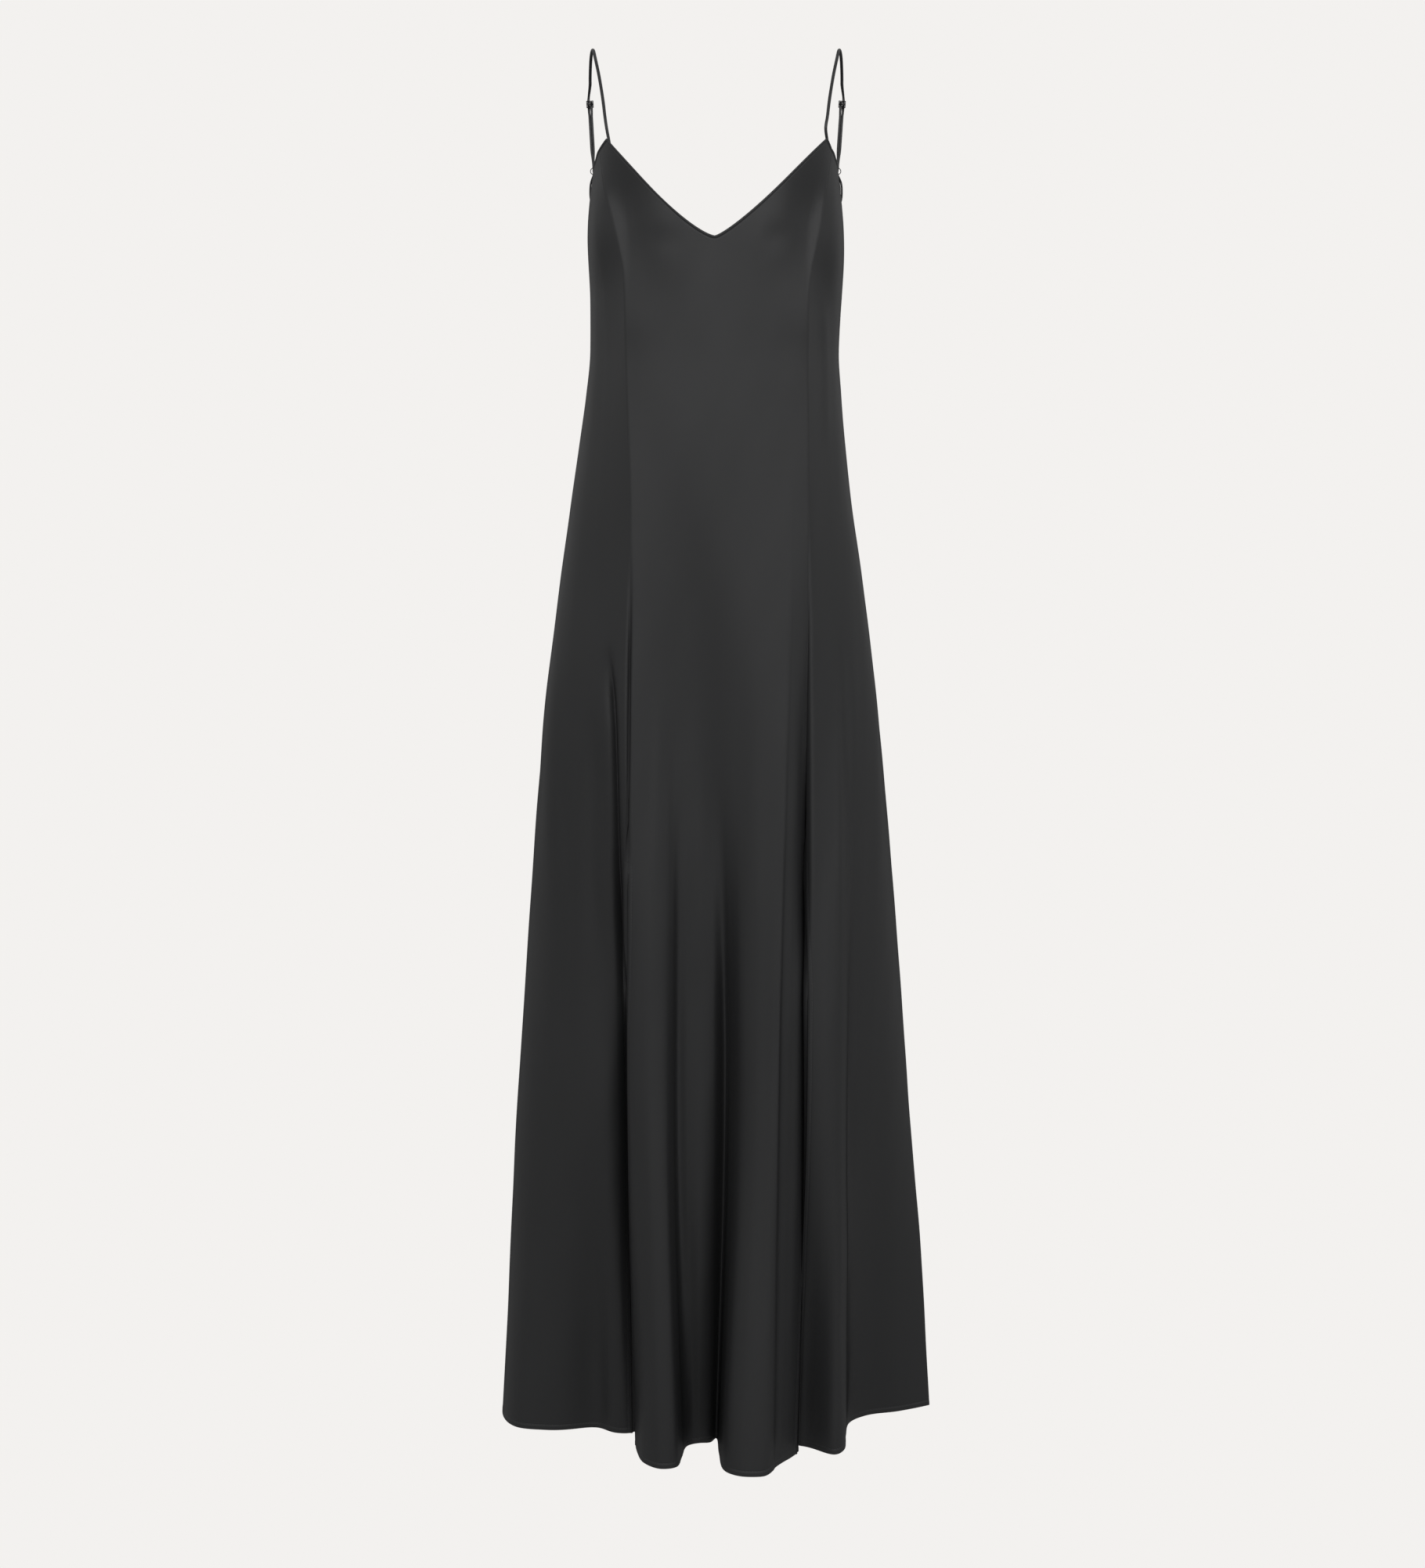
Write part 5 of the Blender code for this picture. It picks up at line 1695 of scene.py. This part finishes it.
@dataclass(frozen=True)
class SatinFinish:
    """A satin cloth: its colour, gloss, weave and stitching.

    Where the cloth turns away from the eye, its gloss falls to edge_gloss and its colour to
    painted_rim_shade of their values, over the ranges of facing in gloss_turn and painted_rim_shade_turn;
    the darker colour there is painted shade that stands in for the dark rims round the outline. A stitch
    row names the attribute it runs beside, its distance from that edge and its pitch.
    """

    name: str
    colour: tuple[float, float, float] = (0.0190, 0.0193, 0.0202)
    streak_share: float = 0.10
    cloud_share: float = 0.10
    roughness: float = 0.50
    roughness_change: float = 0.05
    specular: float = 0.55
    edge_gloss: float = 0.15
    # painted shade: the share of the colour left where the cloth turns away from the eye, for the dark rims
    # round the outline
    painted_rim_shade: float = 0.70
    gloss_turn: tuple[float, float] = (0.70, 1.0)
    painted_rim_shade_turn: tuple[float, float] = (0.72, 0.98)
    pitch: float = 0.00045
    weave_depth: float = 0.00002
    stitch_depth: float = 0.00016
    thread_tone: float = 0.7
    stitch_rows: tuple[tuple[str, float, float], ...] = ()

    def build(self, weave: bpy.types.NodeTree, stitches: bpy.types.NodeTree) -> bpy.types.Material:
        """Make the material.

        Args:
            weave: The weave group.
            stitches: The stitch row group.

        Returns:
            The finished material.
        """
        material = bpy.data.materials.new(self.name)
        material.use_nodes = True
        tree = Tree(material.node_tree)
        shader = material.node_tree.nodes["Principled BSDF"]
        place = tree.add("ShaderNodeSeparateXYZ")
        tree.join(tree.add("ShaderNodeUVMap", uv_map="cloth").outputs[0], place.inputs[0])
        across, along = place.outputs[0], place.outputs[1]
        cloth = tree.add("ShaderNodeGroup", node_tree=weave)
        tree.join(across, cloth.inputs["Across"])
        tree.join(along, cloth.inputs["Along"])
        cloth.inputs["Pitch"].default_value = self.pitch
        streak, cloud = cloth.outputs["Streak"], cloth.outputs["Cloud"]
        low = 1.0 - 0.5 * (self.streak_share + self.cloud_share)
        tone = tree.math("MULTIPLY_ADD", streak, self.streak_share, low)
        tone = tree.math("MULTIPLY_ADD", cloud, self.cloud_share, tone)
        height = tree.math("MULTIPLY", cloth.outputs["Height"], self.weave_depth)
        for run, distance, pitch in self.stitch_rows:
            row = tree.add("ShaderNodeGroup", node_tree=stitches)
            tree.join(tree.attribute(run), row.inputs["Distance"])
            tree.join(along if run == "slit_run" else across, row.inputs["Along"])
            row.inputs["Place"].default_value = distance
            row.inputs["Pitch"].default_value = pitch
            height = tree.math("MULTIPLY_ADD", row.outputs["Height"], self.stitch_depth, height)
            tone = tree.math("MULTIPLY_ADD", row.outputs["Mask"], self.thread_tone, tone)
        turned = tree.add("ShaderNodeLayerWeight").outputs["Facing"]
        # painted shade: the colour darkens towards the outline, standing in for the dark rims there
        shade = tree.ranged(turned, *self.painted_rim_shade_turn, 1.0, self.painted_rim_shade)
        tone = tree.math("MULTIPLY", tone, shade)
        colour = tree.add("ShaderNodeVectorMath", operation="SCALE")
        colour.inputs[0].default_value = self.colour
        tree.join(tone, colour.inputs["Scale"])
        tree.join(colour.outputs[0], shader.inputs["Base Color"])
        rough = tree.math("MULTIPLY_ADD", streak, self.roughness_change, self.roughness)
        tree.join(rough, shader.inputs["Roughness"])
        bumps = tree.add("ShaderNodeBump")
        bumps.inputs["Distance"].default_value = 1.0
        tree.join(height, bumps.inputs["Height"])
        tree.join(bumps.outputs[0], shader.inputs["Normal"])
        low_gloss = self.specular * self.edge_gloss
        gloss = tree.ranged(turned, *self.gloss_turn, self.specular, low_gloss)
        tree.join(gloss, shader.inputs["Specular IOR Level"])
        return material


@dataclass(frozen=True)
class MetalFinish:
    """Dark coated metal with fine scuffs."""

    name: str = "dark_coated_metal"
    colour: tuple[float, float, float, float] = (0.012, 0.012, 0.013, 1.0)
    worn: tuple[float, float, float, float] = (0.060, 0.060, 0.062, 1.0)
    roughness: float = 0.32
    worn_roughness: float = 0.25
    metallic: float = 0.9
    coat: float = 0.4

    def build(self, wear: bpy.types.NodeTree) -> bpy.types.Material:
        """Make the material.

        Args:
            wear: The wear group.

        Returns:
            The finished material.
        """
        material = bpy.data.materials.new(self.name)
        material.use_nodes = True
        tree = Tree(material.node_tree)
        shader = material.node_tree.nodes["Principled BSDF"]
        marks = tree.add("ShaderNodeGroup", node_tree=wear)
        tree.join(tree.add("ShaderNodeTexCoord").outputs["Object"], marks.inputs["Place"])
        tree.join(tree.mix(marks.outputs["Mask"], self.colour, self.worn), shader.inputs["Base Color"])
        rough = tree.math("MULTIPLY_ADD", marks.outputs["Mask"], self.worn_roughness, self.roughness)
        tree.join(rough, shader.inputs["Roughness"])
        shader.inputs["Metallic"].default_value = self.metallic
        shader.inputs["Coat Weight"].default_value = self.coat
        return material


# ---------------------------------------------------------------- studio


@dataclass(frozen=True)
class Softbox:
    """A wide or tall soft light."""

    name: str
    place: tuple[float, float, float]
    aim: tuple[float, float, float]
    width: float
    height: float
    power: float

    def make(self) -> bpy.types.Object:
        """Add the light.

        Returns:
            Its object.
        """
        light = bpy.data.lights.new(self.name, "AREA")
        light.shape = "RECTANGLE"
        light.size = self.width
        light.size_y = self.height
        light.energy = self.power
        item = bpy.data.objects.new(self.name, light)
        item.location = self.place
        direction = Vector(self.aim) - Vector(self.place)
        item.rotation_euler = direction.to_track_quat("-Z", "Y").to_euler()
        bpy.context.scene.collection.objects.link(item)
        return item


@dataclass(frozen=True)
class Studio:
    """Pale floor and surroundings, soft lights and the camera."""

    pale: tuple[float, float, float, float] = (0.896, 0.880, 0.863, 1.0)
    surround: float = 0.44
    floor_height: float = -1.62
    floor_reach: float = 30.0
    floor_tone: float = 0.35
    floor_roughness: float = 0.9
    softboxes: tuple[Softbox, ...] = (
        Softbox("front_high", (0.0, -3.4, 0.9), (0.0, 0.0, -0.4), 2.4, 1.2, 24.5),
        Softbox("right_near", (2.2, -2.2, -0.4), (0.0, 0.0, -0.5), 1.2, 2.0, 1.3),
        Softbox("left_high", (-2.2, -2.0, 1.2), (0.0, 0.0, -0.3), 1.4, 1.0, 11.0),
        Softbox("right_high", (2.2, -2.0, 1.2), (0.0, 0.0, -0.3), 1.4, 1.0, 15.8),
    )
    camera_place: tuple[float, float, float] = (-0.00235, -2.6, -0.50)
    camera_pitch: float = 5.95
    camera_lens: float = 55.62

    def pale_shader(self, tree: Tree, shader: Socket, plain: Socket) -> Socket:
        """The camera sees the pale shade, and other light sees the plain one.

        Args:
            tree: The tree.
            shader: The pale shade.
            plain: The plain one.

        Returns:
            The mixed shader.
        """
        mixer = tree.add("ShaderNodeMixShader")
        tree.join(tree.add("ShaderNodeLightPath").outputs["Is Camera Ray"], mixer.inputs[0])
        tree.join(plain, mixer.inputs[1])
        tree.join(shader, mixer.inputs[2])
        return mixer.outputs[0]

    def make_world(self) -> None:
        """Pale to the eye, dimmer as a light."""
        world = bpy.data.worlds.new("studio_surround")
        world.use_nodes = True
        tree = Tree(world.node_tree)
        seen = world.node_tree.nodes["Background"]
        seen.inputs["Color"].default_value = self.pale
        lit = tree.add("ShaderNodeBackground")
        lit.inputs["Color"].default_value = (1.0, 1.0, 1.0, 1.0)
        lit.inputs["Strength"].default_value = self.surround
        result = self.pale_shader(tree, seen.outputs[0], lit.outputs[0])
        tree.join(result, world.node_tree.nodes["World Output"].inputs["Surface"])
        bpy.context.scene.world = world

    def make_floor(self) -> None:
        """A plain pale floor."""
        reach, height = self.floor_reach, self.floor_height
        signs = ((-1, -1), (1, -1), (1, 1), (-1, 1))
        corners = np.array([(x * reach, y * reach, height) for x, y in signs])
        floor = mesh_object("studio_floor", corners, [(0, 1, 2, 3)])
        material = bpy.data.materials.new("pale_floor")
        material.use_nodes = True
        tree = Tree(material.node_tree)
        shader = material.node_tree.nodes["Principled BSDF"]
        shader.inputs["Base Color"].default_value = (*(self.floor_tone,) * 3, 1.0)
        shader.inputs["Roughness"].default_value = self.floor_roughness
        glow = tree.add("ShaderNodeEmission")
        glow.inputs["Color"].default_value = self.pale
        result = self.pale_shader(tree, glow.outputs[0], shader.outputs[0])
        tree.join(result, material.node_tree.nodes["Material Output"].inputs["Surface"])
        floor.data.materials.append(material)

    def make_camera(self) -> None:
        """The camera in front of the dress, a little above its middle."""
        data = bpy.data.cameras.new("studio_camera")
        data.sensor_width = 36.0
        data.lens = self.camera_lens
        data.clip_end = 100.0
        camera = bpy.data.objects.new("studio_camera", data)
        camera.location = self.camera_place
        camera.rotation_euler = (math.radians(90.0 - self.camera_pitch), 0.0, 0.0)
        bpy.context.scene.collection.objects.link(camera)
        bpy.context.scene.camera = camera

    def build(self) -> None:
        """Set up the whole studio."""
        self.make_world()
        self.make_floor()
        self.make_camera()
        for softbox in self.softboxes:
            softbox.make()
        bpy.context.scene.view_settings.view_transform = "Standard"
        bpy.context.scene.view_settings.look = "None"


# ---------------------------------------------------------------- assembly


@dataclass
class SlipDress:
    """The whole dress, with its back panel last.

    back_part is how far round the back a strap's ring lies from its side seam.
    """

    form: WornForm = field(default_factory=WornForm)
    edges: EdgeFinish = field(default_factory=EdgeFinish)
    waviness: Unevenness = field(default_factory=Unevenness)
    strap_plan: StrapPlan = field(default_factory=StrapPlan)
    panels: tuple[Panel, ...] = (CENTRE_PANEL, LEFT_PANEL, RIGHT_PANEL, BACK_PANEL)
    back_part: float = 0.036
    stitch_rows: tuple[tuple[str, float, float], ...] = (
        ("slit_run", 0.0048, 0.0031),
        ("hem_run", 0.0056, 0.0031),
    )

    def build(self) -> None:
        """Make and dress every piece."""
        weave, stitches, rows = weave_group(), stitch_group(), self.stitch_rows
        satin = SatinFinish("charcoal_satin", stitch_rows=rows).build(weave, stitches)
        dull = SatinFinish(
            "satin_back", roughness=0.62, specular=0.3, stitch_rows=rows
        ).build(weave, stitches)
        strap_satin = SatinFinish("strap_satin_tube", roughness=0.42).build(weave, stitches)
        maker = ClothMaker(self.form, self.edges, self.waviness)
        for panel in self.panels:
            piece = maker.make(panel, satin, dull)
            LOG.info("%s: %d points", piece.name, len(piece.data.vertices))
        for side in Side:
            self.make_strap(maker, side, strap_satin)
        self.dress_hardware(MetalFinish().build(wear_group()))

    def make_strap(self, maker: ClothMaker, side: Side, satin: bpy.types.Material) -> None:
        """Make one strap on its seats.

        Args:
            maker: What made the panels.
            side: The strap's side.
            satin: Its material.
        """
        centre, back = maker.faces["front_centre_panel"], maker.faces["back_panel"]
        near = len(self.edges.near_parts)
        front_column = near if side is Side.LEFT else centre.points.shape[1] - 1 - near
        plan = self.panels[-1]
        at = plan.column_places(self.edges)
        parts = np.interp(at, np.arange(len(plan.folds.rows)), plan.parts(self.form))
        wanted = self.back_part if side is Side.LEFT else 1.0 - self.back_part
        back_column = int(np.argmin(np.abs(parts - wanted)))
        strap = Strap(
            side,
            self.strap_plan,
            Seat.on(centre, front_column, side),
            Seat.on(back, back_column, side),
        )
        for piece in strap.make(satin):
            LOG.info("%s: %d points", piece.name, len(piece.data.vertices))

    @staticmethod
    def dress_hardware(metal: bpy.types.Material) -> None:
        """Give the sliders and rings their dark coating.

        Args:
            metal: The coated metal.
        """
        for side in Side:
            for word in ("slider", "ring"):
                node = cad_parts[f"{word}_{side.word}"]
                for slot in node.material_slots:
                    slot.material = metal
                LOG.info("%s: coated", node.name)


def main() -> None:
    """Build the dress and the studio; each piece's point count goes to the log."""
    logging.basicConfig(level=logging.INFO)
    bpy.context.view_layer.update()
    SlipDress().build()
    Studio().build()


if __name__ == "__main__":
    main()
